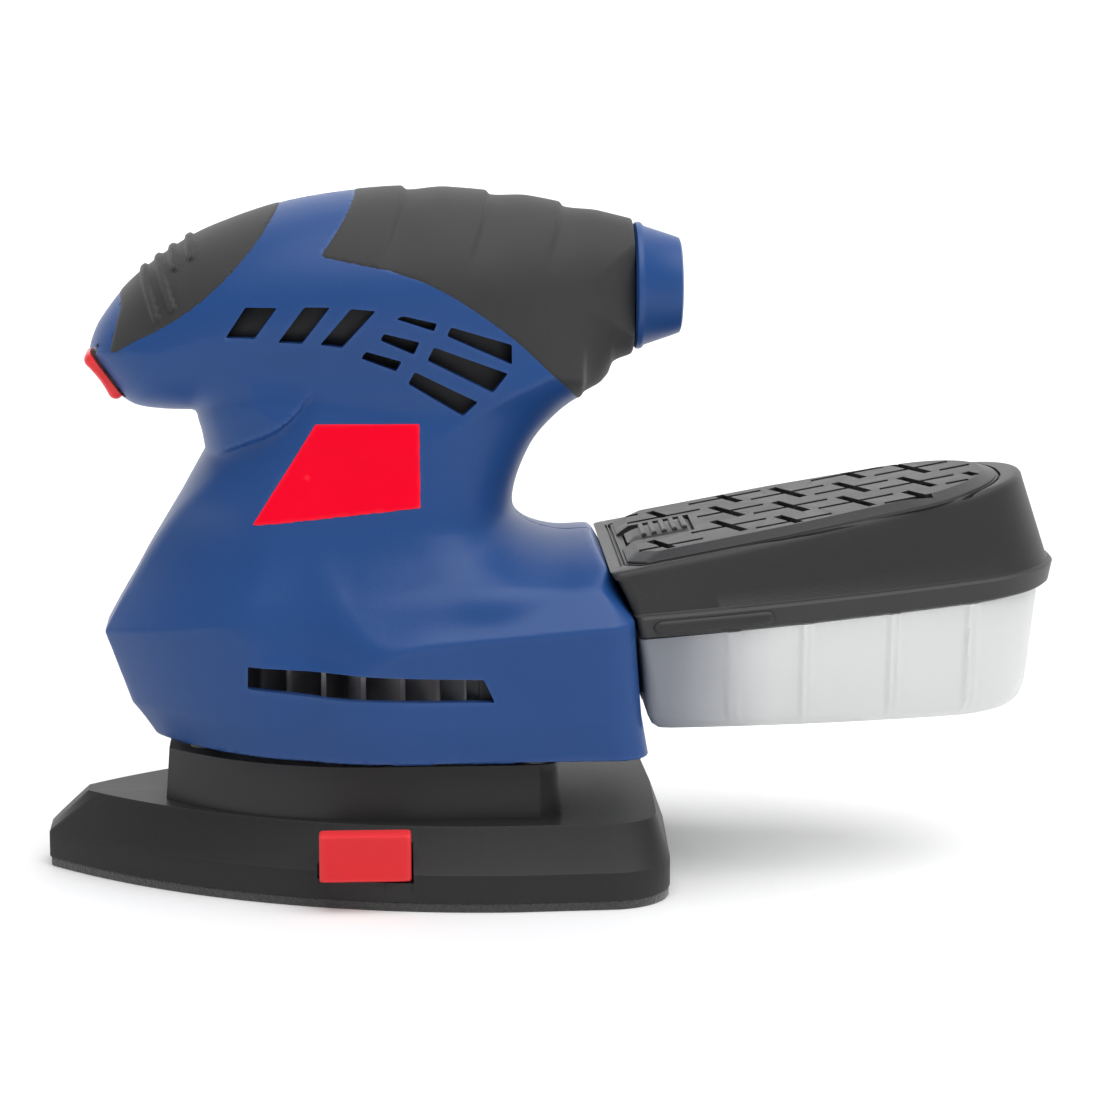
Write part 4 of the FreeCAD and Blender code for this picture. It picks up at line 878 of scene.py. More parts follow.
def make_latch(finish):
    """The latch: an eased plate with five ribs and its hinge barrel."""
    def loop(inset, wide=8.5):
        a, b = 2.2 + inset, 17.6 - inset
        w = wide - inset
        line = [(a, -w + 2.6), (a + 3.0, -w), (b, -w), (b, w), (a + 3.0, w), (a, w - 2.6)]
        return resample(line, 72)

    def ring(inset, up):
        line = loop(inset)
        return on_lid(line[:, 0], line[:, 1], np.full(len(line), up))

    rings = [ring(0.0, -0.9), ring(0.0, 0.9), ring(1.6, 1.75), ring(1.9, 1.85)]
    plate = stacked("latch_plate", rings, finish, split=40)
    ribs = []
    for index in range(5):
        x = 6.2 + 2.35 * index
        half = 6.2
        loop_rib = [(x - 0.55, -half), (x + 0.55, -half), (x + 0.55, half), (x - 0.55, half)]
        shrunk = [(x - 0.3, -half + 0.3), (x + 0.3, -half + 0.3), (x + 0.3, half - 0.3), (x - 0.3, half - 0.3)]
        levels = [np.array([on_lid(a, b, 1.0) for a, b in loop_rib]),
                  np.array([on_lid(a, b, 2.3) for a, b in loop_rib]),
                  np.array([on_lid(a, b, 2.6) for a, b in shrunk])]
        ribs.append(stacked("rib", levels, finish, split=30))
    angle = np.linspace(0, 2 * math.pi, 24, endpoint=False)
    barrel = [on_lid(12.3 + 1.3 * np.cos(angle), np.full(24, y), -0.6 + 1.3 * np.sin(angle))
              for y in (-8.4, 8.4)]
    ribs.append(stacked("barrel", barrel, finish))
    return joined(plate, ribs)


def joined(piece, others):
    """Several meshes as one piece."""
    work = bmesh.new()
    work.from_mesh(piece.data)
    for other in others:
        work.from_mesh(other.data)
        bpy.data.objects.remove(other)
    work.to_mesh(piece.data)
    work.free()
    return piece


def make_finger_bead(side, finish):
    """The long rounded bead on the rim band, on one flank."""
    x = np.linspace(63.5, 90.5, 60)
    reach = np.minimum((x - x[0]) / 2.2, (x[-1] - x) / 2.2)
    half_height = 1.5 * np.sqrt(np.clip(1 - (1 - np.clip(reach, 0, 1)) ** 2, 0.0004, 1))
    line = box_line(front_at(RIM), LID_HALF, LID_END)
    wall = np.interp(x, line[:, 0], line[:, 1])
    angle = np.linspace(0, 2 * math.pi, 20, endpoint=False)
    level = RIM_LEVEL + 0.3 + RIM_SLOPE * x + 2.3
    out = 0.55 * half_height[:, None] * np.cos(angle)[None]
    up = half_height[:, None] * np.sin(angle)[None]
    grid = np.stack([np.broadcast_to(x[:, None], out.shape), (wall[:, None] - 0.15 + out) * side,
                     level[:, None] + up], -1)
    rings = list(grid)
    return stacked("bead", rings, finish, split=60)


# ------------------------------------------------------------------ the sole and what stands on it
SOLE_RING = 400


def iron_ring(line, height):
    """An outline as an evenly spaced ring at a height."""
    return np.column_stack([resample(line, SOLE_RING), np.full(SOLE_RING, height)])


def sole_line(inset=0.0):
    half, tip, rear = SOLE_HIGH[1], -SOLE_LOW[0], SOLE_HIGH[0]
    return iron((-tip + inset, max(5.0 - 0.4 * inset, 1.0)),
                (-0.36 * tip + 0.5 * inset, 0.755 * half - 0.87 * inset),
                (0.49 * rear, half - inset), (rear - 15.6, half - 1.0 - inset),
                (rear - 1.2 - inset, half - 15.0), rear - inset)


def sole_top_line():
    half, tip, rear = SOLE_HIGH[1] - 9.8, -SOLE_LOW[0] - 8.8, SOLE_HIGH[0] - 3.1
    return iron((-tip, 2.7), (-0.3 * tip, 0.778 * half), (0.52 * rear, half), (rear - 12.0, half - 0.8),
                (rear - 0.8, half - 12.0), rear)


DUST_HOLES = ((-42, 0), (-20, 13.8), (-20, -13.8), (44, 25.2), (44, -25.2), (50, 0))
TAB_LOW, TAB_HIGH = low_high("release_tab_left")


def upright(x, y, radius, low, high, count=40):
    """A round bar to cut with."""
    angle = np.linspace(0, 2 * math.pi, count, endpoint=False)
    ring = np.column_stack([x + radius * np.cos(angle), y + radius * np.sin(angle)])
    return stacked("cutter", [np.column_stack([ring, np.full(count, z)]) for z in (low, high)], None)


def block(low, high):
    """A box to cut with."""
    (a, b, c), (d, e, f) = low, high
    ring = np.array([(a, b), (d, b), (d, e), (a, e)], float)
    return stacked("cutter", [np.column_stack([ring, np.full(4, z)]) for z in (c, f)], None)


def make_sole(finish):
    """The sole: a band with an eased lower edge, then a broad bevel to a flat top."""
    low, high, band = SOLE_LOW[2], SOLE_HIGH[2], 8.2
    top = sole_top_line()
    lower = resample(sole_line(), SOLE_RING)
    upper = resample(top, SOLE_RING)
    rings = [iron_ring(sole_line(0.5), low), iron_ring(sole_line(0.12), low + 0.12),
             iron_ring(sole_line(), low + 0.5), iron_ring(sole_line(), band - 0.35)]
    for share in (0.015, 0.05, 0.3, 0.6, 0.92, 0.975, 1.0):
        flat = lower * (1 - share) + upper * share
        rings.append(np.column_stack([flat, np.full(SOLE_RING, band + (high - band) * share ** 0.96)]))
    rings[-1][:, 2] = high
    piece = stacked("sole_body", rings, finish, split=24)
    cutters = [upright(x, y, 4.0, -3, high - 2.5) for x, y in DUST_HOLES]
    cutters.append(upright(1.0, 0, 9.0, 12, 25))
    for side in (1, -1):
        y = sorted((side * (TAB_HIGH[1] - 4.8 - 2.3), side * 60))
        cutters.append(block((TAB_LOW[0] - 0.5, y[0], TAB_LOW[2] - 0.5), (TAB_HIGH[0] + 0.5, y[1], 30)))
        y = sorted((side * (TAB_HIGH[1] - 14.5), side * 45))
        cutters.append(block((-6.5, y[0], 8.5), (6.5, y[1], 14.5)))
    cut_with(piece, *cutters)
    mark_sharp(piece.data, 24)
    return piece


def make_hook_face(finish):
    """The hook face: a thin layer under the sole with the same outline."""
    rings = [iron_ring(sole_line(0.5), HOOK_LOW[2]), iron_ring(sole_line(0.3), HOOK_LOW[2] + 0.3),
             iron_ring(sole_line(0.3), HOOK_HIGH[2])]
    piece = stacked("hook_layer", rings, finish, split=30)
    cut_with(piece, *[upright(x, y, 4.0, -3, 25) for x, y in DUST_HOLES])
    mark_sharp(piece.data, 30)
    return piece


def make_post(name, node, finish):
    """A flexible post: a round rod with eased ends and a soft collar where it leaves the carrier."""
    low, high = low_high(node)
    middle = (low + high) / 2
    radius = (high[0] - low[0]) / 2
    top = CARRIER_HIGH[2]
    outline = [(0, low[2]), (radius - 0.3, low[2]), (radius, low[2] + 0.3), (radius, top), (radius, top + 0.2),
               (radius - 0.25, top + 1.6), (radius - 0.3, high[2] - 0.8), (radius - 0.6, high[2] - 0.2),
               (radius - 1.2, high[2]), (0, high[2])]
    return turned(name, outline, "z", (middle[0], middle[1], 0), finish, 48)


def make_fan(finish):
    """The fan: one set of curved blades turned round the shaft, between a back plate and a lower ring."""
    low, high, radius = FAN_LOW[2], FAN_HIGH[2], FAN_HIGH[0]
    disc = [(4.0, low), (7.2, low), (8.0, low + 0.8), (8.0, high - 4.6), (10.5, high - 2.2),
            (radius - 0.4, high - 1.6), (radius, high - 1.2), (radius, high - 0.3), (radius - 0.3, high),
            (4.0, high)]
    lower = [(radius - 6, low), (radius - 0.3, low), (radius, low + 0.3), (radius, low + 1.2),
             (radius - 6, low + 1.2)]
    wheel = turned("fan_wheel", disc, "z", (0, 0, 0), finish, 96)
    others = [turned("ring", lower, "z", (0, 0, 0), finish, 96)]
    count, along = 20, 10
    s = np.linspace(0, 1, along)
    reach = 9.0 + s * (radius - 0.8 - 9.0)
    lean = 0.28 * (s - 1)
    half = 0.55
    side = np.concatenate([np.full(along, half), np.full(along, -half)])
    reach = np.concatenate([reach, reach[::-1]])
    lean = np.concatenate([lean, lean[::-1]])
    loop = np.column_stack([reach * np.cos(lean) - side * np.sin(lean),
                            reach * np.sin(lean) + side * np.cos(lean)])
    blades = []
    for index in range(count):
        turn = 2 * math.pi * index / count
        c, sn = math.cos(turn), math.sin(turn)
        flat = np.column_stack([loop[:, 0] * c - loop[:, 1] * sn, loop[:, 0] * sn + loop[:, 1] * c])
        ends = [np.column_stack([flat, np.full(len(flat), z)]) for z in (low + 0.6, high - 1.4)]
        blades.append(stacked("blade", ends, finish))
    return joined(wheel, others + blades)


def make_collar(finish):
    """The collar behind the handle: a short cone with a groove at its root, eased rims and the cord's bore."""
    start, end = COLLAR_LOW[0], COLLAR_HIGH[0]
    front, rear = COLLAR_HIGH[1], 11.0
    mouth = HEAD_REAR + 0.1
    outline = [(4.5, start), (4.5, end - 1.2), (5.3, end), (rear - 1.2, end), (rear - 0.35, end - 0.35),
               (rear, end - 1.2), (front - 0.9, mouth + 2.3), (front - 0.25, mouth + 1.8), (front, mouth + 1.2),
               (front - 0.1, mouth + 0.5), (front - 0.7, mouth), (7.9, mouth), (7.9, start)]
    return turned("cord_collar", outline, "x", (0, 0, BARREL_AXIS), finish, 96, 40)


def make_rocker(finish):
    """The switch rocker: a rounded pad that dips in its middle, with a raised mark at one end."""
    rows, columns = 40, 40
    u = np.linspace(-1, 1, rows)
    v = np.linspace(-1, 1, columns)
    u, v = np.meshgrid(u, v, indexing="ij")
    square = (np.abs(u) ** 6 + np.abs(v) ** 6) ** (1 / 6)
    grow = np.maximum(np.abs(u), np.abs(v)) / np.maximum(square, 1e-6)
    along, across = 6.2 * u * grow, 8.0 * v * grow
    edge = 1 - np.clip(np.maximum(np.abs(u), np.abs(v)), 0, 1) ** 8
    out = 0.9 * edge + 0.9 * (u ** 2) * edge - 0.1
    out = out + 0.35 * np.exp(-((u - 0.55) / 0.06) ** 2 - (v / 0.4) ** 8)
    top = rocker_place(along, across, out)
    base = rocker_place(along, across, np.full_like(out, -1.3))
    rim = np.concatenate([top[0, :-1], top[:-1, -1], top[-1, :0:-1], top[:0:-1, 0]])
    rim_low = np.concatenate([base[0, :-1], base[:-1, -1], base[-1, :0:-1], base[:0:-1, 0]])
    count = rows * columns
    faces = [sheet_faces(rows, columns), sheet_faces(rows, columns, flip=True) + count,
             sheet_faces(2, len(rim), False, True) + 2 * count]
    points = np.concatenate([top.reshape(-1, 3), base.reshape(-1, 3), rim, rim_low])
    piece = outward(new_mesh("rocker_pad", points, np.concatenate(faces), finish))
    mark_sharp(piece.data, 50)
    return piece


def rocker_place(along, across, out):
    """Points in the rocker's own place: along the nose, across it and outwards."""
    c, s = math.cos(ROCKER_TILT), math.sin(ROCKER_TILT)
    return np.stack([ROCKER_MID[0] - along * s - out * c, across, ROCKER_MID[2] + along * c - out * s], -1)


def make_tab(name, side, finish):
    """A release tab: a soft-cornered plate with a shallow thumb hollow and its stem behind."""
    low, high = (TAB_LOW, TAB_HIGH)
    half, face = (high[0] - low[0]) / 2, high[1]
    rows, columns = 48, 30
    u, v = np.meshgrid(np.linspace(-1, 1, rows), np.linspace(-1, 1, columns), indexing="ij")
    middle = (low[2] + high[2]) / 2
    tall = (high[2] - low[2]) / 2
    power = 26
    square = (np.abs(u) ** power + np.abs(v) ** power) ** (1 / power)
    grow = np.maximum(np.abs(u), np.abs(v)) / np.maximum(square, 1e-6)
    edge = np.clip(np.maximum(np.abs(u), np.abs(v)), 0, 1)
    y = face - 0.7 * ease(edge, 0.93, 1.0) ** 2 - 0.25 * (1 - ease(np.hypot(u, v), 0.2, 0.9))
    top = np.stack([half * u * grow, side * y, middle + tall * v * grow], -1)
    base = top.copy()
    base[..., 1] = side * (face - 4.8)
    rim = np.concatenate([top[0, :-1], top[:-1, -1], top[-1, :0:-1], top[:0:-1, 0]])
    rim_low = np.concatenate([base[0, :-1], base[:-1, -1], base[-1, :0:-1], base[:0:-1, 0]])
    count = rows * columns
    faces = [sheet_faces(rows, columns), sheet_faces(rows, columns, flip=True) + count,
             sheet_faces(2, len(rim), False, True) + 2 * count]
    points = np.concatenate([top.reshape(-1, 3), base.reshape(-1, 3), rim, rim_low])
    piece = outward(new_mesh(name, points, np.concatenate(faces), finish))
    y_low, y_high = sorted((side * (face - 11.6), side * (face - 4.6)))
    stem = block((-6, y_low, 9), (6, y_high, 14))
    joined(piece, [stem])
    mark_sharp(piece.data, 50)
    return piece


# ------------------------------------------------------------------ finishes
class Value:
    """A number socket whose arithmetic adds Math nodes."""

    def __init__(self, paint, socket):
        self.paint, self.socket = paint, socket

    def math(self, operation, *others):
        return self.paint.node("ShaderNodeMath", {"operation": operation}, *((self,) + others))

    def __add__(self, other):
        return self.math("ADD", other)

    def __sub__(self, other):
        return self.math("SUBTRACT", other)

    def __rsub__(self, other):
        return self.paint.node("ShaderNodeMath", {"operation": "SUBTRACT"}, other, self)

    def __mul__(self, other):
        return self.math("MULTIPLY", other)

    __radd__, __rmul__ = __add__, __mul__


class Paint:
    """A material, its nodes and its Principled shader."""

    def __init__(self, name, colour, roughness, **constants):
        self.material = bpy.data.materials.new(name)
        self.material.use_nodes = True
        self.nodes = self.material.node_tree.nodes
        self.links = self.material.node_tree.links
        self.shader = self.nodes["Principled BSDF"]
        self.material.diffuse_color = (*colour, 1)
        self.set(self.shader, "Base Color", (*colour, 1))
        self.set(self.shader, "Roughness", roughness)
        for key, value in constants.items():
            self.set(self.shader, key.replace("_", " "), value)

    def set(self, node, key, value):
        socket = node.inputs[key]
        if isinstance(value, Value):
            self.links.new(value.socket, socket)
        else:
            socket.default_value = value

    def node(self, kind, settings, *inputs, output=0, **named):
        """A node of a type: its settings first, then the values or links of its sockets."""
        made = self.nodes.new(kind)
        for key, value in settings.items():
            if key == "ramp":
                fill_ramp(made.color_ramp, value)
            else:
                setattr(made, key, value)
        for index, value in enumerate(inputs):
            self.set(made, index, value)
        for key, value in named.items():
            self.set(made, key.replace("_", " "), value)
        return Value(self, made.outputs[output])

    def place(self, scale=(1, 1, 1)):
        """Object coordinates, stretched."""
        where = self.node("ShaderNodeTexCoord", {}, output="Object")
        return self.node("ShaderNodeMapping", {}, Vector=where, Scale=scale)

    def noise(self, scale, detail=3.0, rough=0.55, stretch=(1, 1, 1)):
        return self.node("ShaderNodeTexNoise", {}, Vector=self.place(stretch), Scale=scale, Detail=detail,
                         Roughness=rough)

    def cells(self, scale, feature="F1"):
        return self.node("ShaderNodeTexVoronoi", {"feature": feature}, Vector=self.place(), Scale=scale)

    def between(self, share, first, second):
        """A colour between two, by a share."""
        made = self.nodes.new("ShaderNodeMix")
        made.data_type = "RGBA"
        colours = [s for s in made.inputs if s.type == "RGBA"]
        for socket, colour in zip(colours, (first, second)):
            if isinstance(colour, Value):
                self.links.new(colour.socket, socket)
            else:
                socket.default_value = (*colour, 1)
        self.set(made, 0, share)
        return Value(self, next(s for s in made.outputs if s.type == "RGBA"))

    def ramp(self, value, *stops):
        return self.node("ShaderNodeValToRGB", {"ramp": stops}, value)

    def worn(self):
        """How far a spot stands out from its surroundings, for wear along edges."""
        point = self.node("ShaderNodeNewGeometry", {}, output="Pointiness")
        return self.ramp(point, (0.5, 0.0), (0.58, 1.0))

    def bump(self, height, distance, strength=1.0):
        normal = self.node("ShaderNodeBump", {}, Height=height, Distance=distance, Strength=strength)
        self.set(self.shader, "Normal", normal)


def fill_ramp(ramp, stops):
    """Set a ramp's stops; a lone number is a grey."""
    while len(ramp.elements) < len(stops):
        ramp.elements.new(0.5)
    for element, (position, colour) in zip(ramp.elements, stops):
        element.position = position
        element.color = (colour, colour, colour, 1) if isinstance(colour, (int, float)) else (*colour, 1)


def tone(colour, share):
    """The same colour, lighter or darker."""
    return tuple(min(c * share, 1.0) for c in colour)


def moulded(name, colour, roughness, grain=0.00004, scale=2600, streak=0.06, **constants):
    """Moulded plastic: a fine pebbled grain, slow drifts of tone and gloss, and lighter worn edges."""
    paint = Paint(name, colour, roughness, **constants)
    drift = paint.noise(26, 3.0)
    fine = paint.noise(scale, 2.0, 0.6)
    pebble = paint.cells(scale * 0.75)
    base = paint.between(drift, tone(colour, 0.9), tone(colour, 1.1))
    worn = paint.worn()
    shade = paint.between(worn * 0.35, base, tuple(c + 0.05 for c in tone(colour, 1.25)))
    paint.set(paint.shader, "Base Color", shade)
    gloss = drift * streak + fine * 0.06 - worn * 0.05
    paint.set(paint.shader, "Roughness", gloss + (roughness - streak / 2 - 0.03))
    paint.bump(fine * 0.6 + pebble * 0.4, grain, 0.7)
    return paint.material


def rubbery(name, colour, roughness=0.62):
    """Soft rubber: a dense matte grain with dusty drifts."""
    paint = Paint(name, colour, roughness, Sheen_Weight=0.1, Sheen_Roughness=0.5, Specular_IOR_Level=0.35)
    dust = paint.noise(60, 5.0, 0.65)
    grain = paint.noise(4200, 3.0, 0.7)
    shade = paint.between(dust, tone(colour, 0.8), tone(colour, 1.35))
    paint.set(paint.shader, "Base Color", shade)
    paint.set(paint.shader, "Roughness", dust * 0.12 + grain * 0.1 + (roughness - 0.1))
    paint.bump(grain, 0.00007, 0.8)
    return paint.material


def milky(name, colour):
    """Milky clear plastic with faint flow lines down it, painted greyer at its front over the spout as painted
    shade where the spout and shell show through.
    """
    paint = Paint(name, colour, 0.3, Transmission_Weight=0.45, IOR=1.2)
    flow = paint.noise(40, 4.0, 0.6, (1, 1, 0.35))
    fine = paint.noise(1500, 2.0)
    split = paint.node("ShaderNodeSeparateXYZ", {}, paint.place((1, 1, 1)))
    # Painted shade: the bin's front over the spout is painted grey where the spout and shell show through.
    front = paint.ramp(split + flow * 0.006, (0.072, 0.0), (0.092, 1.0))
    clear = paint.between(flow, tone(colour, 0.95), tone(colour, 1.03))
    paint.set(paint.shader, "Base Color", paint.between(front, (0.40, 0.42, 0.47), clear))
    paint.set(paint.shader, "Roughness", flow * 0.12 + fine * 0.05 + 0.24)
    paint.bump(fine, 0.00002, 0.6)
    return paint.material


def metallic(name, colour, roughness, stretch=(1, 1, 8), scale=900, bump=0.00001):
    """Bare metal with fine machining lines and a dull bloom."""
    paint = Paint(name, colour, roughness, Metallic=1.0)
    line = paint.noise(scale, 3.0, 0.6, stretch)
    bloom = paint.noise(90, 4.0)
    paint.set(paint.shader, "Base Color", paint.between(bloom, tone(colour, 0.82), tone(colour, 1.08)))
    paint.set(paint.shader, "Roughness", line * 0.2 + bloom * 0.14 + (roughness - 0.15))
    paint.bump(line, bump, 0.6)
    return paint.material


def layered(name, colour, pitch):
    """Thin stacked sheets: dark seams at a steady pitch up the Z axis."""
    paint = Paint(name, colour, 0.42, Metallic=0.9)
    height = paint.node("ShaderNodeSeparateXYZ", {}, paint.place(), output="Z")
    wave = (height * (2 * math.pi / pitch)).math("SINE")
    seam = paint.ramp(wave * 0.5 + 0.5, (0.0, 0.35), (0.25, 1.0))
    paint.set(paint.shader, "Base Color", paint.between(seam, tone(colour, 0.45), colour))
    paint.bump(seam, 0.00005, 0.6)
    return paint.material


def hooked(name, colour):
    """A bed of short stiff hooks, seen as a rough speckle."""
    paint = Paint(name, colour, 0.9, Sheen_Weight=0.4, Sheen_Roughness=0.6)
    hooks = paint.cells(1400)
    fuzz = paint.noise(2500, 4.0, 0.75)
    paint.set(paint.shader, "Base Color", paint.between(hooks * 1.5, tone(colour, 0.6), tone(colour, 1.7)))
    paint.bump(hooks * 0.7 + fuzz * 0.3, 0.0003, 0.8)
    return paint.material


def papery(name, colour):
    """Pleated filter paper: soft folds across it, with painted shade in each fold's trough and painted light on its
    crest, and a fibrous face.
    """
    paint = Paint(name, colour, 0.9)
    along = paint.node("ShaderNodeSeparateXYZ", {}, paint.place(), output="X")
    fold = (along * (2 * math.pi / 0.004)).math("SINE") * 0.5 + 0.5
    fibre = paint.noise(1800, 5.0, 0.7)
    # Painted shade and light: the colour darkens in each fold's trough and lightens on its crest.
    paint.set(paint.shader, "Base Color", paint.between(fold, tone(colour, 0.7), tone(colour, 1.1)))
    paint.bump(fold * 0.8 + fibre * 0.2, 0.0006, 0.8)
    return paint.material


def wound(name, colour):
    """Enamelled copper wire laid side by side, with painted shade between the turns and lighter crowns."""
    paint = Paint(name, colour, 0.35, Metallic=0.8, Coat_Weight=0.5)
    height = paint.node("ShaderNodeSeparateXYZ", {}, paint.place(), output="Z")
    turn = (height * (2 * math.pi / 0.0009)).math("SINE") * 0.5 + 0.5
    drift = paint.noise(150, 3.0)
    # Painted shade: the colour darkens between the turns and lightens along each turn's crown.
    shade = paint.between(turn * 0.7 + drift * 0.3, tone(colour, 0.5), tone(colour, 1.15))
    paint.set(paint.shader, "Base Color", shade)
    paint.bump(turn, 0.0002, 0.8)
    return paint.material


# ------------------------------------------------------------------ sizes and colours to change
class SanderColours(bpy.types.PropertyGroup):
    """The colours of the sander's main finishes."""

    body: bpy.props.FloatVectorProperty(name="Body", description="Colour of the shell", subtype="COLOR", size=3,
                                        min=0, max=1, default=(0.012, 0.059, 0.212))
    rubber: bpy.props.FloatVectorProperty(name="Rubber", description="Colour of the soft grips", subtype="COLOR",
                                          size=3, min=0, max=1, default=(0.026, 0.026, 0.027))
    dark: bpy.props.FloatVectorProperty(name="Dark plastic", description="Colour of the sole and the lid",
                                        subtype="COLOR", size=3, min=0, max=1, default=(0.027, 0.027, 0.028))
    label: bpy.props.FloatVectorProperty(name="Side plate", description="Colour of the plain side plates",
                                         subtype="COLOR", size=3, min=0, max=1, default=(0.90, 0.001, 0.022))
    button: bpy.props.FloatVectorProperty(name="Buttons", description="Colour of the rocker and release tabs",
                                          subtype="COLOR", size=3, min=0, max=1, default=(0.70, 0.020, 0.026))
    box: bpy.props.FloatVectorProperty(name="Dust bin", description="Colour of the milky bin", subtype="COLOR",
                                       size=3, min=0, max=1, default=(0.95, 0.96, 0.96))


class SanderSizes(bpy.types.PropertyGroup):
    """How finely the shell is meshed and how strongly the light falls."""

    step: bpy.props.FloatProperty(name="Shell step", description="Spacing of the shell's mesh", unit="LENGTH",
                                  default=0.00078, min=0.0004, max=0.004)
    grip_step: bpy.props.FloatProperty(name="Grip step", description="Spacing of the grips' mesh", unit="LENGTH",
                                       default=0.0006, min=0.0003, max=0.004)
    key: bpy.props.FloatProperty(name="Top light", description="Strength of the broad light from above",
                                 default=2.95, min=0, max=20)
    fill: bpy.props.FloatProperty(name="Surround", description="Strength of the light from all round",
                                  default=0.38, min=0, max=5)


FINISHES = {}


def finish_for(name):
    """The finish of a material slot, made when it is first asked for."""
    if name in FINISHES:
        return FINISHES[name]
    colours = bpy.context.scene.sander_colours
    body, rubber, dark = tuple(colours.body), tuple(colours.rubber), tuple(colours.dark)
    label, button, box = tuple(colours.label), tuple(colours.button), tuple(colours.box)
    makers = {
        "body_blue": lambda: moulded(name, body, 0.4, Specular_IOR_Level=0.28),
        "grip_rubber": lambda: rubbery(name, rubber),
        "label_red": lambda: moulded(name, label, 0.36, 0.00001, 1800, 0.04, Specular_IOR_Level=0.05),
        "button_red": lambda: moulded(name, button, 0.4, 0.00003, Specular_IOR_Level=0.25),
        "black_plastic": lambda: moulded(name, (0.011, 0.011, 0.0125), 0.45, Specular_IOR_Level=0.25),
        "sole_plastic": lambda: moulded(name, tone(dark, 0.62), 0.5, 0.00007, 1800, Specular_IOR_Level=0.2),
        "lid_plastic": lambda: moulded(name, dark, 0.46, 0.00006, 2000, Specular_IOR_Level=0.25),
        "bin_clear": lambda: milky(name, box),
        "hook_fabric": lambda: hooked(name, (0.02, 0.02, 0.02)),
        "filter_paper": lambda: papery(name, (0.7, 0.68, 0.6)),
        "post_grey": lambda: rubbery(name, (0.42, 0.43, 0.44), 0.55),
        "fan_grey": lambda: moulded(name, (0.46, 0.46, 0.47), 0.5),
        "steel": lambda: metallic(name, (0.56, 0.57, 0.58), 0.32),
        "cast_alloy": lambda: metallic(name, (0.55, 0.55, 0.54), 0.5, (1, 1, 1), 1400, 0.00006),
        "lamination": lambda: layered(name, (0.36, 0.36, 0.37), 0.0008),
        "copper": lambda: wound(name, (0.62, 0.23, 0.09)),
        "brass": lambda: metallic(name, (0.72, 0.5, 0.2), 0.3),
        "carbon": lambda: moulded(name, (0.018, 0.018, 0.019), 0.55),
    }
    FINISHES[name] = makers[name]()
    return FINISHES[name]


def put(piece, body, slot, *nodes):
    """Let a piece ride on its body and stand for its nodes; its slot is not used."""
    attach(piece, body)
    if nodes:
        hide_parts(*nodes)
    return piece


def spacing(size):
    return size / MM * 1.0


# ------------------------------------------------------------------ operators
class SANDER_OT_frame(bpy.types.Operator):
    """Give every CAD node that stays in view its own finish."""

    bl_idname = "sander.frame"
    bl_label = "Finish the inner parts"

    def execute(self, context):
        for entry in frame["record"]["subparts"]:
            node = frame["nodes"][entry["node"]]
            for slot in node.material_slots:
                slot.material = finish_for(entry["material_slot"])
        return {"FINISHED"}


class SANDER_OT_shell(bpy.types.Operator):
    """Build the two halves of the shell with their vents, seats and inner walls."""

    bl_idname = "sander.shell"
    bl_label = "Shell halves"

    def execute(self, context):
        step = spacing(context.scene.sander_sizes.step)
        paint = finish_for("body_blue")
        for name, side in (("left", 1), ("right", -1)):
            low, high = sorted((-side * 1.0, side * 44.5))
            piece = field_mesh("shell_" + name, shell_half(side), (-63, low, Shell.foot - 1.5),
                               (HEAD_REAR + 4, high, 156), step, paint, split=38)
            outward(piece)
            for cutter in shell_cutters(side):
                cut_with(piece, cutter)
            mark_sharp(piece.data, 32)
            put(piece, "housing", "body_blue", "housing_" + name)
            # Dark sheets behind the upper vents and behind the lower slot's rear end: painted shade seen through
            # the openings.
            upper_shade_sheet = field_mesh("vent_screen_" + name, shade_sheet_field(side), (-36, low, 101), (39, high, 135),
                                0.8 * step / 0.85, finish_for("black_plastic"), split=50)
            put(outward(upper_shade_sheet), "housing", "black_plastic")
            lower_shade_sheet = field_mesh("slot_baffle_" + name, shade_sheet_field(side, (29.4, 47.8), (4.2, 6.0)), (24, low, 40),
                                (35, high, 55), 0.8 * step / 0.85, finish_for("black_plastic"), split=50)
            put(outward(lower_shade_sheet), "housing", "black_plastic")
        return {"FINISHED"}


class SANDER_OT_grips(bpy.types.Operator):
    """Build the rubber on the nose and on the handle."""

    bl_idname = "sander.grips"
    bl_label = "Rubber grips"

    def execute(self, context):
        step = spacing(context.scene.sander_sizes.grip_step)
        paint = finish_for("grip_rubber")
        nose = field_mesh("nose_grip", front_grip_field, (-63, -31, 114), (-10, 31, 156), step, paint, split=45)
        put(nose, "housing", "grip_rubber", "front_grip")
        sleeve = field_mesh("handle_grip", rear_grip_field, (-13, -33, 99), (HEAD_REAR + 2, 33, 157), step, paint,
                            split=45)
        put(sleeve, "housing", "grip_rubber", "rear_grip")
        return {"FINISHED"}


class SANDER_OT_labels(bpy.types.Operator):
    """Build the plain red plates on both flanks."""

    bl_idname = "sander.labels"
    bl_label = "Side plates"

    def execute(self, context):
        step = spacing(0.00045)
        for name, side in (("left", 1), ("right", -1)):
            low, high = sorted((side * 18.0, side * 34.0))
            piece = field_mesh("side_plate_" + name, label_field(side), (-27, low, 79), (16, high, 107), step,
                               finish_for("label_red"), split=40)
            put(piece, "housing", "label_red", "label_" + name)
        return {"FINISHED"}


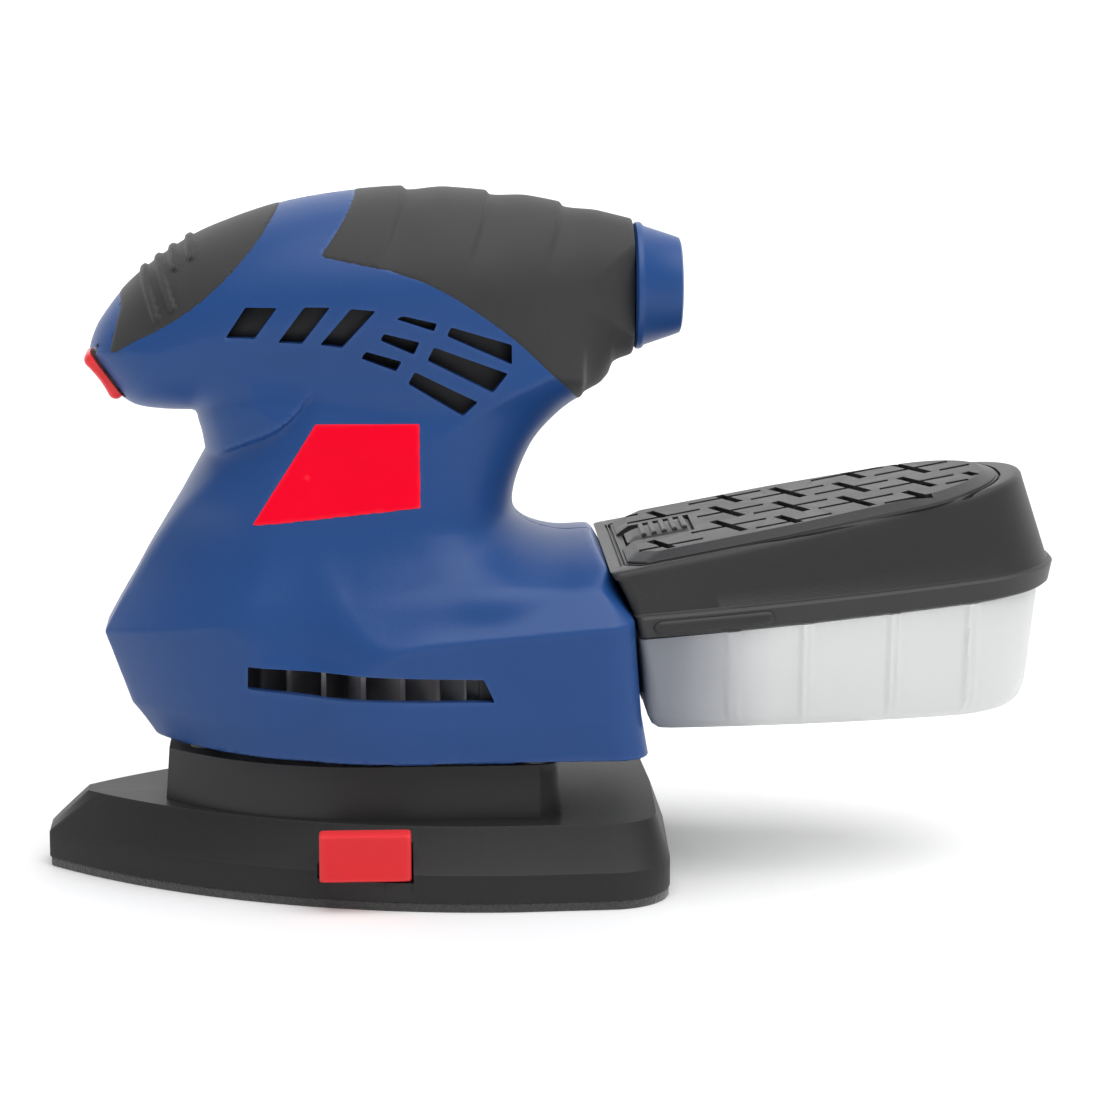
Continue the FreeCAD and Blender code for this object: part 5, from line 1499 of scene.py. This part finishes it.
class SANDER_OT_details(bpy.types.Operator):
    """Build the collar behind the handle, the rocker and the dust spout."""

    bl_idname = "sander.details"
    bl_label = "Collar, rocker and spout"

    def execute(self, context):
        put(make_collar(finish_for("body_blue")), "housing", "body_blue", "rear_collar")
        put(make_rocker(finish_for("button_red")), "switch", "button_red", "switch_rocker")
        outer = (2 * SPOUT_HALF[0] - 0.4, 2 * SPOUT_HALF[1] - 0.2)
        inner = (2 * SPOUT_HALF[0] - 3.2, 2 * SPOUT_HALF[1] - 3.0)
        spout = tube_along_x("spout_tube", outer, inner, SPOUT_LOW[0], SPOUT_HIGH[0], SPOUT_MID[2],
                             finish_for("sole_plastic"))
        put(spout, "housing", "sole_plastic", "dust_spout")
        return {"FINISHED"}


class SANDER_OT_pad(bpy.types.Operator):
    """Build the sole, its hook face, the release tabs, the flexible posts and the fan."""

    bl_idname = "sander.pad"
    bl_label = "Sole, tabs, posts and fan"

    def execute(self, context):
        put(make_sole(finish_for("sole_plastic")), "pad", "sole_plastic", "sole_plate")
        put(make_hook_face(finish_for("hook_fabric")), "pad", "hook_fabric", "hook_face")
        for name, side in (("left", 1), ("right", -1)):
            tab = make_tab("tab_plate_" + name, side, finish_for("button_red"))
            put(tab, "tab_" + name, "button_red", "release_tab_" + name)
        for place in ("front_left", "rear_left", "front_right", "rear_right"):
            post = make_post("soft_post_" + place, "post_" + place, finish_for("post_grey"))
            put(post, "pad", "post_grey", "post_" + place)
        put(make_fan(finish_for("fan_grey")), "rotor", "fan_grey", "fan")
        return {"FINISHED"}


class SANDER_OT_dust_box(bpy.types.Operator):
    """Build the milky bin, the lid with its raised slit plate and beads, and the latch."""

    bl_idname = "sander.dust_box"
    bl_label = "Dust box"

    def execute(self, context):
        put(make_bin(finish_for("bin_clear")), "dust_box", "bin_clear", "dust_bin")
        dark = finish_for("lid_plastic")
        put(make_lid(dark), "box_lid", "lid_plastic", "lid")
        for name, side in (("left", 1), ("right", -1)):
            bead = make_finger_bead(side, dark)
            bead.name = "lid_bead_" + name
            put(bead, "box_lid", "lid_plastic")
        put(make_plate(dark), "box_lid", "lid_plastic", "lid_plate")
        put(make_latch(dark), "latch", "lid_plastic", "latch")
        return {"FINISHED"}


class SANDER_OT_stage(bpy.types.Operator):
    """Make the floor, the soft lights and the camera."""

    bl_idname = "sander.stage"
    bl_label = "Floor, lights and camera"

    def execute(self, context):
        sizes = context.scene.sander_sizes
        floor = new_mesh("floor", np.array([(-3000, -3000, 0), (3000, -3000, 0), (3000, 3000, 0),
                                            (-3000, 3000, 0)]), [(0, 1, 2, 3)], floor_finish())
        wall = new_mesh("backdrop", np.array([(-6000, 2600, -10), (6000, 2600, -10), (6000, 2600, 5000),
                                              (-6000, 2600, 5000)]), [(0, 1, 2, 3)], backdrop_finish())
        top_light((-0.25, 0.30, -1.0), sizes.key)
        world = bpy.data.worlds.new("studio")
        world.use_nodes = True
        world.node_tree.nodes["Background"].inputs["Color"].default_value = (1, 1, 1, 1)
        world.node_tree.nodes["Background"].inputs["Strength"].default_value = sizes.fill
        context.scene.world = world
        lens = bpy.data.cameras.new("camera")
        lens.lens, lens.sensor_width, lens.clip_start, lens.clip_end = 129.6, 36, 0.05, 20
        camera = bpy.data.objects.new("camera", lens)
        context.scene.collection.objects.link(camera)
        place, target = Vector((-3.563, -883.717, 235.080)) * MM, Vector((42.751, 0, 71.068)) * MM
        context.scene.view_settings.view_transform = "Standard"
        camera.location = place
        camera.rotation_euler = (target - place).to_track_quat("-Z", "Y").to_euler()
        context.scene.camera = camera
        return {"FINISHED"}


def floor_finish():
    """A plain pale floor with a hardly visible drift of tone."""
    paint = Paint("floor", (0.86, 0.86, 0.86), 0.75)
    drift = paint.noise(3, 2.0)
    paint.set(paint.shader, "Base Color", paint.between(drift, (0.85, 0.85, 0.85), (0.87, 0.87, 0.87)))
    return paint.material


def backdrop_finish():
    """A plain white backdrop that glows evenly."""
    paint = Paint("backdrop", (0.8, 0.8, 0.8), 0.9, Emission_Color=(1, 1, 1, 1), Emission_Strength=0.62)
    return paint.material


def top_light(direction, strength):
    """A broad soft light from above that falls evenly everywhere."""
    lamp = bpy.data.lights.new("top", "SUN")
    lamp.angle, lamp.energy = math.radians(70), strength
    item = bpy.data.objects.new("top", lamp)
    item.rotation_euler = Vector(direction).to_track_quat("-Z", "Y").to_euler()
    bpy.context.scene.collection.objects.link(item)
    return item


OPERATORS = (SANDER_OT_frame, SANDER_OT_shell, SANDER_OT_grips, SANDER_OT_labels, SANDER_OT_details, SANDER_OT_pad,
             SANDER_OT_dust_box, SANDER_OT_stage)


class SANDER_PT_panel(bpy.types.Panel):
    """Lists the sander's pieces and their sizes and colours."""

    bl_idname = "SANDER_PT_panel"
    bl_label = "Orbital sander"
    bl_space_type = "VIEW_3D"
    bl_region_type = "UI"
    bl_category = "Sander"

    def draw(self, context):
        for group in (context.scene.sander_colours, context.scene.sander_sizes):
            for key in group.__annotations__:
                self.layout.prop(group, key)
        for operator in OPERATORS:
            self.layout.operator(operator.bl_idname)


CLASSES = (SanderColours, SanderSizes) + OPERATORS + (SANDER_PT_panel,)


def register():
    for item in CLASSES:
        bpy.utils.register_class(item)
    bpy.types.Scene.sander_colours = bpy.props.PointerProperty(type=SanderColours)
    bpy.types.Scene.sander_sizes = bpy.props.PointerProperty(type=SanderSizes)


def unregister():
    del bpy.types.Scene.sander_sizes
    del bpy.types.Scene.sander_colours
    for item in reversed(CLASSES):
        bpy.utils.unregister_class(item)


def main():
    """Build everything in order."""
    register()
    for operator in OPERATORS:
        group, name = operator.bl_idname.split(".")
        getattr(getattr(bpy.ops, group), name)()


if __name__ == "__main__":
    main()
